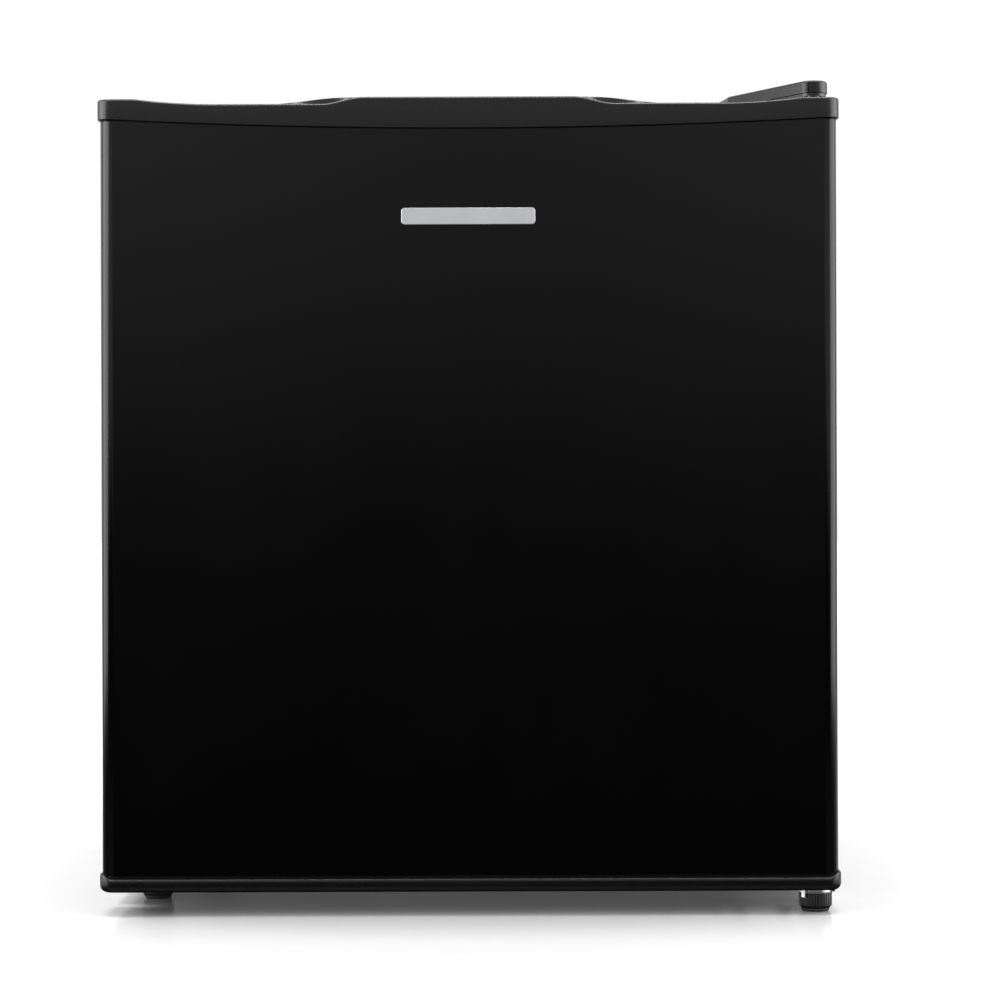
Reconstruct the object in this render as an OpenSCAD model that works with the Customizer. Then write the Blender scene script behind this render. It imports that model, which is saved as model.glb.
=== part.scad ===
// Table-top refrigerator with a solid door hinged on the right.
// Millimetres. +Z is up, the door faces -Y, and the origin is on the floor
// under the centre of the whole appliance.

/* [Overall] */
// Width over the door caps
fridge_w = 445; // [440:1:470]
// Depth from the door face to the rear spacers
fridge_d = 470; // [465:1:490]
// Height from the floor to the top of the hinge cover
fridge_h = 500; // [496:1:520]

/* [Door] */
// Thickness of the door without its gasket
door_t = 40; // [38:1:44]
// Overhang of the plastic caps past the steel door skin
cap_overhang = 1.7; // [1:0.1:2.5]
// Radius of the door skin's upright corners
door_corner_r = 8; // [6:1:10]
// Width of the raised middle of the top cap
plateau_w = 132; // [100:1:150]
// Depth of the two finger scoops in the top cap
scoop_drop = 4.3; // [2:0.1:5]

/* [Cabinet] */
// Thickness of the foam-filled side walls
side_wall_t = 35; // [32:1:40]
// Thickness of the foam-filled roof, floor and back
end_wall_t = 38; // [36:1:40]
// Height of the compressor bay's ceiling
bay_top_z = 170; // [165:1:170]
// Height of the shelf's support ribs
shelf_z = 206; // [206:1:212]

/* [Feet] */
// Diameter of the front levelling feet
foot_d = 20; // [18:1:24]
// Diameter of the levelling feet's studs
foot_stud_d = 6; // [5:0.5:6]

/* [Hidden] */
$fn = 48;

black = [0.05, 0.05, 0.055];
white = [0.92, 0.93, 0.93];
zinc = [0.72, 0.73, 0.74];
copper = [0.72, 0.42, 0.26];

// Whole-cabinet places
sheet_t = 0.8;
liner_t = 1.5;
gasket_t = 12;
gasket_gap = 0.3;
cover_h = 9.5;
front_y = -fridge_d / 2;
door_back_y = front_y + door_t;
cab_front_y = door_back_y + gasket_t;
cab_back_y = fridge_d / 2 - 42;
cab_half_w = (fridge_w - 5) / 2;
cab_bottom_z = 13.2;
cab_top_z = fridge_h - cover_h;

// Cavity and compressor bay
mouth_half_w = cab_half_w - side_wall_t;
mouth_low_z = cab_bottom_z + end_wall_t - 1.2;
mouth_high_z = cab_top_z - end_wall_t;
cavity_back_y = cab_back_y - end_wall_t;
bay_front_y = 58;
step_front_y = bay_front_y - 32;
step_top_z = bay_top_z + 32;
cavity_corner_r = 12;
flange_w = 33;

// Door
door_low_z = 14;
door_high_z = cab_top_z - 1;
skin_half_w = fridge_w / 2 - cap_overhang;
skin_front_y = front_y + cap_overhang;
skin_low_z = 24;
skin_high_z = door_high_z - 10.5;
end_drop = 1.3;
end_land_x = fridge_w / 2 - 23;
bottom_cap_top_z = 22.4;
cap_arc_r = 4090;
cap_mid_h = 19.2;
dyke_half_w = mouth_half_w - 13;
dyke_w = 22;
dyke_reach = 68;
liner_recess = 8;

// Hinge
hinge_x = fridge_w / 2 - 14.5;
hinge_y = front_y + 19;
lower_pin_d = 10;
upper_pin_d = 8;
pin_clearance = 0.05;
plate_t = 2;
bush_flange_t = 0.8;

// Feet
left_foot_pos = [-196.5, front_y + 80];
right_foot_pos = [hinge_x, hinge_y];
pad_t = 2;
foot_gap = 0.2;
rest_gap = 0.2;
foot_top_z = cab_bottom_z - plate_t - foot_gap;

// Ice box
ice_low_z = 348;
ice_high_z = 438;
ice_left_x = -165;
ice_right_x = 95;
ice_front_y = 12;
ice_back_y = cavity_back_y - 5;
flap_axis_y = 1.5;
flap_axis_z = 440;
flap_pin_d = 4;

// Drip tray
tray_low_z = 316;
tray_high_z = 334;
tray_front_y = 4;

// Machine parts
comp_x = -35;
comp_y = 128;
comp_r = 56;
condenser_y = cab_back_y + 20;
tube_d = 4.8;
loop_pitch = 44;
loop_count = 6;
run_half_w = 168;
run_low_z = 205;
drier_x = -182;
drier_top_z = 170;
drier_low_z = 90;
riser_x = -203;

// A box from its low corner to its high corner
module block(low, high) {
    translate(low)
        cube(high - low);
}

// A rectangle with round corners, centred on the origin
module round_rect(w, h, r) {
    square([w - 2 * r, h], center = true);
    square([w, h - 2 * r], center = true);
    for (sx = [-1, 1], sy = [-1, 1])
        translate([sx * (w / 2 - r), sy * (h / 2 - r)])
            circle(r);
}

// An outline drawn in front view, made solid from y0 to y1
module front_slab(y0, y1) {
    translate([0, y1, 0])
        rotate([90, 0, 0])
            linear_extrude(y1 - y0)
                children();
}

// A solid bar with round corners in front view, between four sides
module round_bar(x0, x1, y0, y1, z0, z1, r) {
    front_slab(y0, y1)
        translate([(x0 + x1) / 2, (z0 + z1) / 2])
            round_rect(x1 - x0, z1 - z0, r);
}

// A solid with round corners in front view and in plan
module round_tub(x0, x1, y0, y1, z0, z1, r_front, r_plan) {
    intersection() {
        round_bar(x0, x1, y0, y1, z0, z1, r_front);
        translate([(x0 + x1) / 2, (y0 + y1) / 2, z0 - 1])
            linear_extrude(z1 - z0 + 2)
                round_rect(x1 - x0, y1 - y0, r_plan);
    }
}

// A cylinder along X, Y or Z from a start point
module rod_x(p, d, l) {
    translate(p)
        rotate([0, 90, 0])
            cylinder(d = d, h = l);
}

module rod_y(p, d, l) {
    translate(p)
        rotate([-90, 0, 0])
            cylinder(d = d, h = l);
}

module rod_z(p, d, l) {
    translate(p)
        cylinder(d = d, h = l);
}

// The open space inside the cabinet, grown outwards by g on every closed side
module cavity(g) {
    front = cab_front_y - 1;
    difference() {
        round_bar(-mouth_half_w - g, mouth_half_w + g, front, cavity_back_y + g,
                  mouth_low_z - g, mouth_high_z + g, cavity_corner_r + g);
        block([-fridge_w, step_front_y + g, 0], [fridge_w, fridge_d, step_top_z - g]);
    }
}

// The cabinet's outer form, shrunk by g
module cabinet_form(g, y0, y1, z0) {
    corner_r = 7;
    front_slab(y0, y1)
        intersection() {
            translate([0, (cab_top_z - g) / 2])
                round_rect(2 * (cab_half_w - g), cab_top_z - g, corner_r - g);
            translate([-fridge_w, z0])
                square([2 * fridge_w, fridge_h]);
        }
}

module cabinet_wrap() {
    color(black)
        difference() {
            cabinet_form(0, cab_front_y, cab_back_y, cab_bottom_z);
            cabinet_form(sheet_t, cab_front_y + sheet_t, cab_back_y + 1, 0);
            block([-cab_half_w + flange_w, cab_front_y - 1, 0],
                  [cab_half_w - flange_w, cab_front_y + 1 + sheet_t, cab_top_z - 35.5]);
        }
}

module back_panel() {
    rib_count = 3;
    color(zinc)
        union() {
            intersection() {
                cabinet_form(sheet_t + 0.2, cab_back_y - sheet_t, cab_back_y, cab_bottom_z);
                block([-fridge_w, cab_back_y - fridge_d, bay_top_z + 1], [fridge_w, fridge_d, fridge_h]);
            }
            for (i = [0 : rib_count - 1])
                block([-150, cab_back_y - 0.1, 230 + i * 100], [150, cab_back_y + 1.5, 242 + i * 100]);
        }
}

module floor_plate() {
    half_w = cab_half_w - sheet_t - 0.2;
    color(black)
        difference() {
            block([-half_w, cab_front_y + sheet_t + 0.2, cab_bottom_z],
                  [half_w, bay_front_y, cab_bottom_z + sheet_t]);
            rod_z([left_foot_pos[0], left_foot_pos[1], 0], 12, 30);
        }
}

module front_crossbar() {
    half_w = cab_half_w - flange_w - 0.2;
    top_z = mouth_low_z - 3;
    color(black)
        union() {
            block([-half_w, cab_front_y, cab_bottom_z], [half_w, cab_front_y + sheet_t, top_z]);
            block([-half_w, cab_front_y + sheet_t - 0.01, top_z - sheet_t],
                  [half_w, cab_front_y + 8, top_z]);
        }
}

module bay_panel() {
    half_w = cab_half_w - sheet_t - 0.2;
    color(zinc)
        union() {
            block([-half_w, bay_front_y, cab_bottom_z], [half_w, bay_front_y + sheet_t, bay_top_z + sheet_t]);
            block([-half_w, bay_front_y, bay_top_z], [half_w, cab_back_y, bay_top_z + sheet_t]);
        }
}

module cabinet_foam() {
    gap = sheet_t + 0.05;
    color([0.93, 0.88, 0.66])
        difference() {
            cabinet_form(gap, cab_front_y + gap, cab_back_y - gap, cab_bottom_z + gap);
            cavity(liner_t);
            block([-fridge_w, bay_front_y - 0.05, 0], [fridge_w, fridge_d, bay_top_z + gap]);
            rod_z([left_foot_pos[0], left_foot_pos[1], 0], 12, 34);
            block([-fridge_w, cab_front_y - 1, mouth_low_z - 4], [fridge_w, cab_front_y + 9, mouth_low_z - 2.9]);
        }
}

// Ledges along both side walls: shelf levels and the drip tray's runners
module wall_ledges() {
    tray_level = tray_high_z - 2 - rest_gap;
    levels = [[shelf_z - rest_gap, 8, -85], [shelf_z + 56, 8, -85], [tray_level, 11, 2]];
    for (sx = [-1, 1], level = levels)
        translate([sx * (mouth_half_w + 0.5 - (level[1] + 0.5) / 2), 0, 0])
            block([-(level[1] + 0.5) / 2, level[2], level[0] - 3.8],
                  [(level[1] + 0.5) / 2, cavity_back_y + 0.5, level[0]]);
}

module inner_liner() {
    color(white)
        union() {
            difference() {
                cavity(liner_t - 0.02);
                cavity(0);
                block([-fridge_w, -fridge_d, 0], [fridge_w, cab_front_y, fridge_h]);
            }
            wall_ledges();
        }
}

module compressor_tray() {
    half_w = cab_half_w - sheet_t - 0.4;
    y0 = bay_front_y + 12;
    y1 = cab_back_y;
    color(zinc)
        difference() {
            union() {
                block([-half_w, y0, cab_bottom_z], [half_w, y1, cab_bottom_z + 1.5]);
                for (y = [y0, y1 - 1.5])
                    block([-half_w, y, cab_bottom_z], [half_w, y + 1.5, cab_bottom_z + 12]);
                block([130, y1 - 30, cab_bottom_z + 1.4], [162, y1 - 28.5, cab_bottom_z + 42]);
            }
            for (p = mount_points())
                rod_z([p[0], p[1], 0], 6.4, 30);
            rod_y([146, y1 - 40, cab_bottom_z + 26], 16, 20);
        }
}

function mount_points() = [for (sx = [-1, 1], sy = [-1, 1]) [comp_x + sx * 62, comp_y + sy * 32]];

module rear_feet() {
    color(black)
        for (sx = [-1, 1])
            translate([sx * 190, cab_back_y - 22, 0])
                union() {
                    cylinder(d1 = 22, d2 = 24, h = 3);
                    translate([0, 0, 3])
                        cylinder(d = 24, h = cab_bottom_z - 3);
                }
}

comp_low_z = cab_bottom_z + 20;
comp_seam_z = comp_low_z + 62;

module compressor_top() {
    color(black)
        translate([comp_x, comp_y, comp_seam_z])
            union() {
                cylinder(r = comp_r, h = 30);
                translate([0, 0, 30])
                    intersection() {
                        scale(1)
                            translate([0, 0, -60])
                                sphere(r = sqrt(comp_r * comp_r + 60 * 60));
                        cylinder(r = comp_r, h = 60);
                    }
                translate([0, 0, 5])
                    cylinder(r = comp_r + 3, h = 2.5);
            }
}

module compressor_base() {
    wall = comp_r - 2.4;
    color(black)
        translate([comp_x, comp_y, comp_low_z])
            rotate_extrude()
                union() {
                    translate([0, 12])
                        square([wall, comp_seam_z - comp_low_z - 12]);
                    polygon([[0, 0], [wall - 16, 0], [wall, 12.5], [0, 12.5]]);
                    translate([0, comp_seam_z - comp_low_z - 2.5])
                        square([comp_r + 3, 2.5]);
                }
}

module compressor_legs() {
    leg_z = cab_bottom_z + 14;
    color(black)
        difference() {
            union()
                for (sy = [-1, 1])
                    block([comp_x - 74, comp_y + sy * 32 - 10, leg_z],
                          [comp_x + 74, comp_y + sy * 32 + 10, leg_z + 2.5]);
            for (p = mount_points())
                rod_z([p[0], p[1], 0], 12, 60);
        }
    color(black)
        for (sx = [-1, 1], sy = [-1, 1])
            block([comp_x + sx * 22 - 3, comp_y + sy * 30 - 3, leg_z + 2.5],
                  [comp_x + sx * 22 + 3, comp_y + sy * 30 + 3, comp_low_z]);
}

module rubber_mounts() {
    low = cab_bottom_z + 1.5;
    leg_z = cab_bottom_z + 14;
    color([0.1, 0.1, 0.1])
        for (p = mount_points())
            translate([p[0], p[1], low])
                rotate_extrude()
                    polygon([[3.3, 0], [10, 0], [10, leg_z - low], [5.9, leg_z - low],
                             [5.9, leg_z - low + 2.5], [9, leg_z - low + 2.5],
                             [9, leg_z - low + 5], [3.3, leg_z - low + 5]]);
}

module mount_bolts() {
    low = cab_bottom_z - 3;
    color(zinc)
        for (p = mount_points())
            translate([p[0], p[1], 0])
                union() {
                    translate([0, 0, low])
                        cylinder(d = 11, h = 3, $fn = 6);
                    translate([0, 0, low + 2.5])
                        cylinder(d = 6, h = 24.5);
                    translate([0, 0, cab_bottom_z + 19])
                        cylinder(d = 14, h = 1.2);
                    translate([0, 0, cab_bottom_z + 20.2])
                        cylinder(d = 10, h = 4, $fn = 6);
                }
}

module relay_box() {
    color([0.12, 0.12, 0.13])
        difference() {
            round_bar(comp_x + 20, comp_x + 84, comp_y - 24, comp_y + 24, comp_low_z + 12, comp_low_z + 50, 5);
            rod_z([comp_x, comp_y, comp_low_z - 5], 2 * (comp_r - 2.4) + 0.1, 100);
        }
}

// Serpentine of level runs joined by half-turn bends, with its outlet down to the drier
module condenser_tube() {
    half_run = run_half_w;
    low_z = run_low_z;
    bend_r = loop_pitch / 2;
    color(black)
        union() {
            for (i = [0 : loop_count - 1])
                rod_x([-half_run, condenser_y, low_z + i * loop_pitch], tube_d, 2 * half_run);
            for (i = [0 : loop_count - 2]) {
                side = i % 2 == 0 ? 1 : -1;
                translate([side * half_run, condenser_y, low_z + (i + 0.5) * loop_pitch])
                    rotate([90, side > 0 ? 0 : 180, 0])
                        rotate([0, 0, -90])
                            rotate_extrude(angle = 180)
                                translate([bend_r, 0])
                                    circle(d = tube_d);
            }
            pipe([[-half_run + 0.1, condenser_y, low_z],
                  [drier_x, condenser_y, low_z],
                  [drier_x, condenser_y, drier_top_z]], tube_d, 9);
        }
}

module condenser_wires() {
    wire_d = 1.6;
    wire_count = 26;
    span = 330;
    color(black)
        for (i = [0 : wire_count - 1], sy = [-1, 1])
            rod_z([-span / 2 + i * span / (wire_count - 1),
                   condenser_y + sy * ((tube_d + wire_d) / 2 + 0.02), 196], wire_d, 238);
}

module condenser_clips() {
    color(black)
        for (sx = [-1, 1], i = [0, 3])
            difference() {
                block([sx * 176 - 6, cab_back_y, 205 + (i + 0.25) * loop_pitch],
                      [sx * 176 + 6, condenser_y - tube_d / 2 - 2, 205 + (i + 0.75) * loop_pitch]);
                block([sx * 176 - 7, cab_back_y + 3, 205 + (i + 0.25) * loop_pitch + 4],
                      [sx * 176 + 7, fridge_d, 205 + (i + 0.75) * loop_pitch - 4]);
            }
}

module wall_spacers() {
    color([0.12, 0.12, 0.13])
        for (sx = [-1, 1])
            translate([sx * 204, cab_back_y, 452])
                rotate([-90, 0, 0])
                    union() {
                        cylinder(d = 24, h = 3);
                        cylinder(d1 = 18, d2 = 13, h = fridge_d / 2 - cab_back_y - 2);
                        translate([0, 0, fridge_d / 2 - cab_back_y - 2.01])
                            cylinder(d = 13, h = 2.01);
                    }
}

module filter_drier() {
    body_d = 19;
    neck_h = 10;
    color(copper)
        translate([drier_x, condenser_y, drier_low_z])
            rotate_extrude()
                polygon([[0, 0], [3, 0], [body_d / 2, neck_h],
                         [body_d / 2, drier_top_z - drier_low_z - neck_h],
                         [3.2, drier_top_z - drier_low_z], [0, drier_top_z - drier_low_z]]);
}

// Straight pipes joined by quarter bends at the inner points of a route with right angles
module pipe(route, d, bend_r) {
    last = len(route) - 1;
    function unit(a, b) = (b - a) / norm(b - a);
    union() {
        for (i = [0 : last - 1]) {
            dir = unit(route[i], route[i + 1]);
            start = route[i] + (i == 0 ? 0 : bend_r) * dir;
            run = norm(route[i + 1] - route[i]) - (i == 0 ? 0 : bend_r) - (i == last - 1 ? 0 : bend_r);
            translate(start)
                rotate([0, acos(dir[2]), atan2(dir[1], dir[0])])
                    cylinder(d = d, h = run);
        }
        for (i = [1 : last - 1]) {
            a = unit(route[i - 1], route[i]);
            b = unit(route[i], route[i + 1]);
            c = cross(-b, a);
            centre = route[i] - bend_r * a + bend_r * b;
            multmatrix([[-b[0], a[0], c[0], centre[0]],
                        [-b[1], a[1], c[1], centre[1]],
                        [-b[2], a[2], c[2], centre[2]],
                        [0, 0, 0, 1]])
                rotate_extrude(angle = 90)
                    translate([bend_r, 0])
                        circle(d = d);
        }
    }
}

module discharge_pipe() {
    out_z = comp_low_z + 40;
    top_z = run_low_z + (loop_count - 1) * loop_pitch;
    color(copper)
        pipe([[comp_x - comp_r + 2, comp_y, out_z],
              [comp_x - 110, comp_y, out_z],
              [comp_x - 110, condenser_y, out_z],
              [riser_x, condenser_y, out_z],
              [riser_x, condenser_y, top_z],
              [-run_half_w, condenser_y, top_z]], tube_d - 0.2, 9);
}

module suction_pipe() {
    out_z = comp_low_z + 52;
    color(copper)
        pipe([[comp_x - 20, comp_y + comp_r - 8, out_z],
              [comp_x - 20, cab_back_y + 8, out_z],
              [comp_x - 20, cab_back_y + 8, bay_top_z + 16],
              [comp_x - 20, cab_back_y, bay_top_z + 16]], 6, 5);
}

module capillary_tube() {
    color(copper)
        pipe([[drier_x, condenser_y, drier_low_z],
              [drier_x, condenser_y, drier_low_z - 7],
              [comp_x - 40, condenser_y, drier_low_z - 7],
              [comp_x - 40, condenser_y, bay_top_z + 16],
              [comp_x - 40, cab_back_y, bay_top_z + 16]], 2, 3);
}

gland_pos = [146, 0, cab_bottom_z + 26];
gland_bore_d = 7.4;

module cord_gland() {
    plate_y = cab_back_y - 30;
    color([0.12, 0.12, 0.13])
        translate([gland_pos[0], plate_y, gland_pos[2]])
            rotate([-90, 0, 0])
                difference() {
                    union() {
                        translate([0, 0, -5])
                            cylinder(d = 15.8, h = 13);
                        translate([0, 0, 1.5])
                            cylinder(d = 21, h = 3);
                        translate([0, 0, -4.9])
                            cylinder(d = 20, h = 4.9);
                    }
                    translate([0, 0, -10])
                        cylinder(d = gland_bore_d, h = 30);
                }
}

// The upper hinge plate, which narrows to a round nose over the pin
module hinge_outline(grow) {
    tail_y = cab_front_y + 52;
    nose_r = 8 + grow;
    hull() {
        translate([hinge_x, hinge_y])
            circle(r = nose_r);
        translate([hinge_x - 2, tail_y])
            circle(r = 6 + grow);
        translate([hinge_x - 44, tail_y - 4])
            circle(r = 6 + grow);
        translate([hinge_x - 40, tail_y - 26])
            circle(r = 6 + grow);
    }
}

upper_screw_points = [[-8, 40], [-30, 62], [-6, 74]];

module upper_hinge_plate() {
    color(black)
        difference() {
            translate([0, 0, cab_top_z])
                linear_extrude(plate_t)
                    hinge_outline(0);
            rod_z([hinge_x, hinge_y, cab_top_z - 1], upper_pin_d - 2, 10);
            for (p = upper_screw_points)
                rod_z([hinge_x + p[0], hinge_y + p[1], cab_top_z - 1], 5, 10);
        }
}

// Shouldered pin riveted up through the plate
module upper_hinge_pin() {
    color(zinc)
        union() {
            rod_z([hinge_x, hinge_y, cab_top_z - 14], upper_pin_d, 14);
            rod_z([hinge_x, hinge_y, cab_top_z - 0.5], upper_pin_d - 2, plate_t + 0.5);
        }
}

module upper_hinge_screws() {
    color(zinc)
        for (p = upper_screw_points)
            translate([hinge_x + p[0], hinge_y + p[1], cab_top_z + plate_t])
                union() {
                    cylinder(d = 9, h = 1.2);
                    cylinder(d1 = 8.6, d2 = 5, h = 3);
                    translate([0, 0, -plate_t])
                        cylinder(d = 4, h = plate_t + 0.5);
                }
}

module hinge_cover() {
    shell_t = 1.6;
    low_z = cab_top_z + plate_t + 0.2;
    color(black)
        difference() {
            translate([0, 0, low_z])
                linear_extrude(fridge_h - low_z)
                    hinge_outline(0.75);
            translate([0, 0, low_z - 1])
                linear_extrude(fridge_h - low_z - shell_t + 1)
                    hinge_outline(0.75 - shell_t);
        }
}

module hinge_hole_plugs() {
    color(black)
        for (p = upper_screw_points)
            translate([-hinge_x - p[0], hinge_y + p[1], cab_top_z])
                cylinder(d1 = 10, d2 = 8.5, h = 1.6);
}

lower_screw_points = [[-12, 62], [-40, 50], [-40, 74]];

module lower_hinge_bracket() {
    low_z = cab_bottom_z - plate_t;
    nose_r = 9.5;
    arm_w = 20;
    tab_drop = 2.2;
    arm_x0 = hinge_x - 8;
    lip_t = 1.5;
    color(zinc)
        difference() {
            union() {
                translate([0, 0, low_z])
                    linear_extrude(plate_t)
                        union() {
                            translate([hinge_x, hinge_y])
                                circle(r = nose_r);
                            translate([arm_x0, hinge_y])
                                square([arm_w, 60]);
                            translate([hinge_x - 50, hinge_y + 40])
                                square([arm_x0 + arm_w - hinge_x + 50, 44]);
                        }
                rod_z([hinge_x, hinge_y, cab_bottom_z - 0.5], lower_pin_d, 14.5);
                block([arm_x0 + arm_w - lip_t, hinge_y + 14, low_z - 3],
                      [arm_x0 + arm_w, hinge_y + 84, low_z + plate_t]);
                translate([hinge_x, hinge_y, 0])
                    rotate(225) {
                        block([nose_r - 2, -1.2, low_z], [nose_r + 2.3, 1.2, low_z + plate_t]);
                        block([foot_d / 2 + 0.6, -1.2, low_z - tab_drop],
                              [nose_r + 2.3, 1.2, low_z + plate_t]);
                    }
            }
            rod_z([hinge_x, hinge_y, 0], foot_stud_d + 0.1, 60);
            for (p = lower_screw_points)
                rod_z([hinge_x + p[0], hinge_y + p[1], 0], 5, 30);
        }
}

module lower_hinge_screws() {
    low_z = cab_bottom_z - plate_t;
    color(zinc)
        for (p = lower_screw_points)
            translate([hinge_x + p[0], hinge_y + p[1], low_z])
                union() {
                    translate([0, 0, -3])
                        cylinder(d = 8.5, h = 3, $fn = 6);
                    cylinder(d = 4, h = plate_t);
                }
}

module foot_insert() {
    color(white)
        translate([left_foot_pos[0], left_foot_pos[1], cab_bottom_z])
            difference() {
                union() {
                    cylinder(d = 11.8, h = 20);
                    translate([0, 0, -1])
                        cylinder(d = 16, h = 1);
                }
                translate([0, 0, -2])
                    cylinder(d = foot_stud_d + 0.1, h = 18);
            }
}

// Rubber glide that stays still on the floor while the foot turns
module foot_pad(pos) {
    color([0.1, 0.1, 0.1])
        translate([pos[0], pos[1], 0])
            union() {
                cylinder(d1 = foot_d - 4, d2 = foot_d - 2.4, h = pad_t);
                cylinder(d = 5, h = pad_t + 3);
            }
}

// Knurled foot with its stud
module foot_screw(pos, stud_top_z) {
    groove_count = 32;
    color(black)
        translate([pos[0], pos[1], 0])
            difference() {
                union() {
                    translate([0, 0, pad_t + 0.05])
                        cylinder(d1 = foot_d - 2.4, d2 = foot_d, h = 1.5);
                    translate([0, 0, pad_t + 1.5])
                        cylinder(d = foot_d, h = foot_top_z - pad_t - 1.5);
                    cylinder_from(pad_t + 4, stud_top_z, foot_stud_d);
                }
                translate([0, 0, 0])
                    cylinder(d = 5.1, h = pad_t + 3.1);
                for (i = [0 : groove_count - 1])
                    rotate(i * 360 / groove_count)
                        translate([foot_d / 2 + 0.2, 0, pad_t + 2.2])
                            cylinder(d = 1.1, h = 20, $fn = 16);
            }
}

module cylinder_from(z0, z1, d) {
    translate([0, 0, z0])
        cylinder(d = d, h = z1 - z0);
}

module left_foot_pad() foot_pad(left_foot_pos);
module right_foot_pad() foot_pad(right_foot_pos);
module left_foot_screw() foot_screw(left_foot_pos, cab_bottom_z + 13);
module right_foot_screw() foot_screw(right_foot_pos, cab_bottom_z + 12);

module evaporator_box() {
    t = 1.5;
    color([0.80, 0.82, 0.84])
        difference() {
            round_bar(ice_left_x, ice_right_x, ice_front_y, ice_back_y, ice_low_z, ice_high_z, 6);
            round_bar(ice_left_x + t, ice_right_x - t, ice_front_y - 1, ice_back_y - t,
                      ice_low_z + t, ice_high_z - t, 4.5);
        }
}

module evaporator_spacers() {
    color(white)
        for (x = [ice_left_x + 25, ice_right_x - 25], y = [ice_front_y + 25, ice_back_y - 25])
            rod_z([x, y, ice_high_z], 12, mouth_high_z - ice_high_z);
}

module ice_box_frame() {
    y0 = ice_front_y - 8;
    ear_t = 4;
    color(white)
        difference() {
            union() {
                difference() {
                    round_bar(ice_left_x - 5, ice_right_x + 5, y0, ice_front_y,
                              ice_low_z - 5, ice_high_z + 8, 5);
                    round_bar(ice_left_x + 8, ice_right_x - 8, y0 - 1, ice_front_y + 1,
                              ice_low_z + 5, ice_high_z - 4, 6);
                }
                for (x = [ice_left_x - 5, ice_right_x + 5 - ear_t])
                    block([x, flap_axis_y - 4.5, flap_axis_z - 5], [x + ear_t, y0 + 0.5, flap_axis_z + 5]);
            }
            rod_x([-fridge_w / 2, flap_axis_y, flap_axis_z], flap_pin_d + 0.1, fridge_w);
        }
}

module ice_box_flap() {
    x0 = ice_left_x + 1;
    x1 = ice_right_x - 1;
    barrel_d = 4.6;
    low_z = ice_low_z - 1;
    color([0.86, 0.92, 0.95, 0.9])
        union() {
            round_bar(x0, x1, flap_axis_y - 1.5, flap_axis_y + 1.5, low_z, flap_axis_z - 1, 3);
            rod_x([x0, flap_axis_y, flap_axis_z], barrel_d, x1 - x0);
            rod_x([x0 - 4.9, flap_axis_y, flap_axis_z], flap_pin_d, x1 - x0 + 9.8);
            block([-65, flap_axis_y - 9, low_z], [-5, flap_axis_y, low_z + 3]);
        }
}

module drip_tray() {
    t = 2;
    corner_r = 6;
    half_w = mouth_half_w - 13;
    rim_half_w = mouth_half_w - 2;
    y0 = tray_front_y;
    y1 = cavity_back_y - 3;
    lip_w = 120;
    color(white)
        difference() {
            union() {
                intersection() {
                    round_tub(-half_w, half_w, y0, y1, tray_low_z, tray_high_z + corner_r, corner_r, corner_r);
                    block([-fridge_w, y0, 0], [fridge_w, y1, tray_high_z]);
                }
                translate([0, (y0 + y1) / 2, tray_high_z - t])
                    linear_extrude(t)
                        round_rect(2 * rim_half_w, y1 - y0, corner_r);
                translate([0, y0 - 1, tray_high_z - t])
                    linear_extrude(t)
                        round_rect(lip_w, 14, corner_r);
            }
            round_tub(-half_w + t, half_w - t, y0 + t, y1 - t, tray_low_z + t, tray_high_z + 2 * corner_r,
                      corner_r - t, corner_r - t);
        }
}

// Wires run front to back, welded on top of two cross bars inside a rim
module wire_shelf() {
    rim_d = 5;
    wire_d = 3;
    x1 = mouth_half_w - 5;
    y0 = -85;
    y1 = cavity_back_y - 4;
    z = shelf_z + rim_d / 2;
    wire_count = 15;
    color([0.85, 0.86, 0.87])
        union() {
            for (sx = [-1, 1])
                rod_y([sx * x1, y0, z], rim_d, y1 - y0);
            for (y = [y0, y1])
                rod_x([-x1, y, z], rim_d, 2 * x1);
            for (sx = [-1, 1], y = [y0, y1])
                translate([sx * x1, y, z])
                    sphere(d = rim_d);
            for (y = [y0 + (y1 - y0) / 3, y1 - (y1 - y0) / 3])
                rod_x([-x1, y, z - 0.5], rim_d - 1, 2 * x1);
            for (i = [1 : wire_count])
                rod_y([-x1 + i * 2 * x1 / (wire_count + 1), y0, z + 0.8], wire_d, y1 - y0);
        }
}

stat_x0 = 112;
stat_x1 = mouth_half_w - 10;
stat_y0 = 24;
stat_y1 = 104;
stat_z0 = 372;
knob_centre = [(stat_x0 + stat_x1) / 2, stat_y0, 412];
knob_d = 34;

module thermostat_housing() {
    t = 2;
    x1 = stat_x1;
    color(white)
        difference() {
            round_bar(stat_x0, x1, stat_y0, stat_y1, stat_z0, mouth_high_z, 4);
            round_bar(stat_x0 + t, x1 - t, stat_y0 + t, stat_y1 + 1, stat_z0 + t, mouth_high_z - t, 3);
            rod_y([knob_centre[0], stat_y0 - 1, knob_centre[2]], 10, 10);
        }
}

module thermostat_switch() {
    y0 = stat_y0 + 2.1;
    half_w = 16;
    color(zinc)
        difference() {
            union() {
                block([knob_centre[0] - half_w, y0, knob_centre[2] - half_w],
                      [knob_centre[0] + half_w, y0 + 34, knob_centre[2] + half_w]);
                rod_y([knob_centre[0], stat_y0 - 7, knob_centre[2]], 6, 20);
            }
            block([knob_centre[0] + 2, stat_y0 - 8, knob_centre[2] - 6],
                  [knob_centre[0] + 4, stat_y0 + 0.5, knob_centre[2] + 6]);
        }
}

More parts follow.
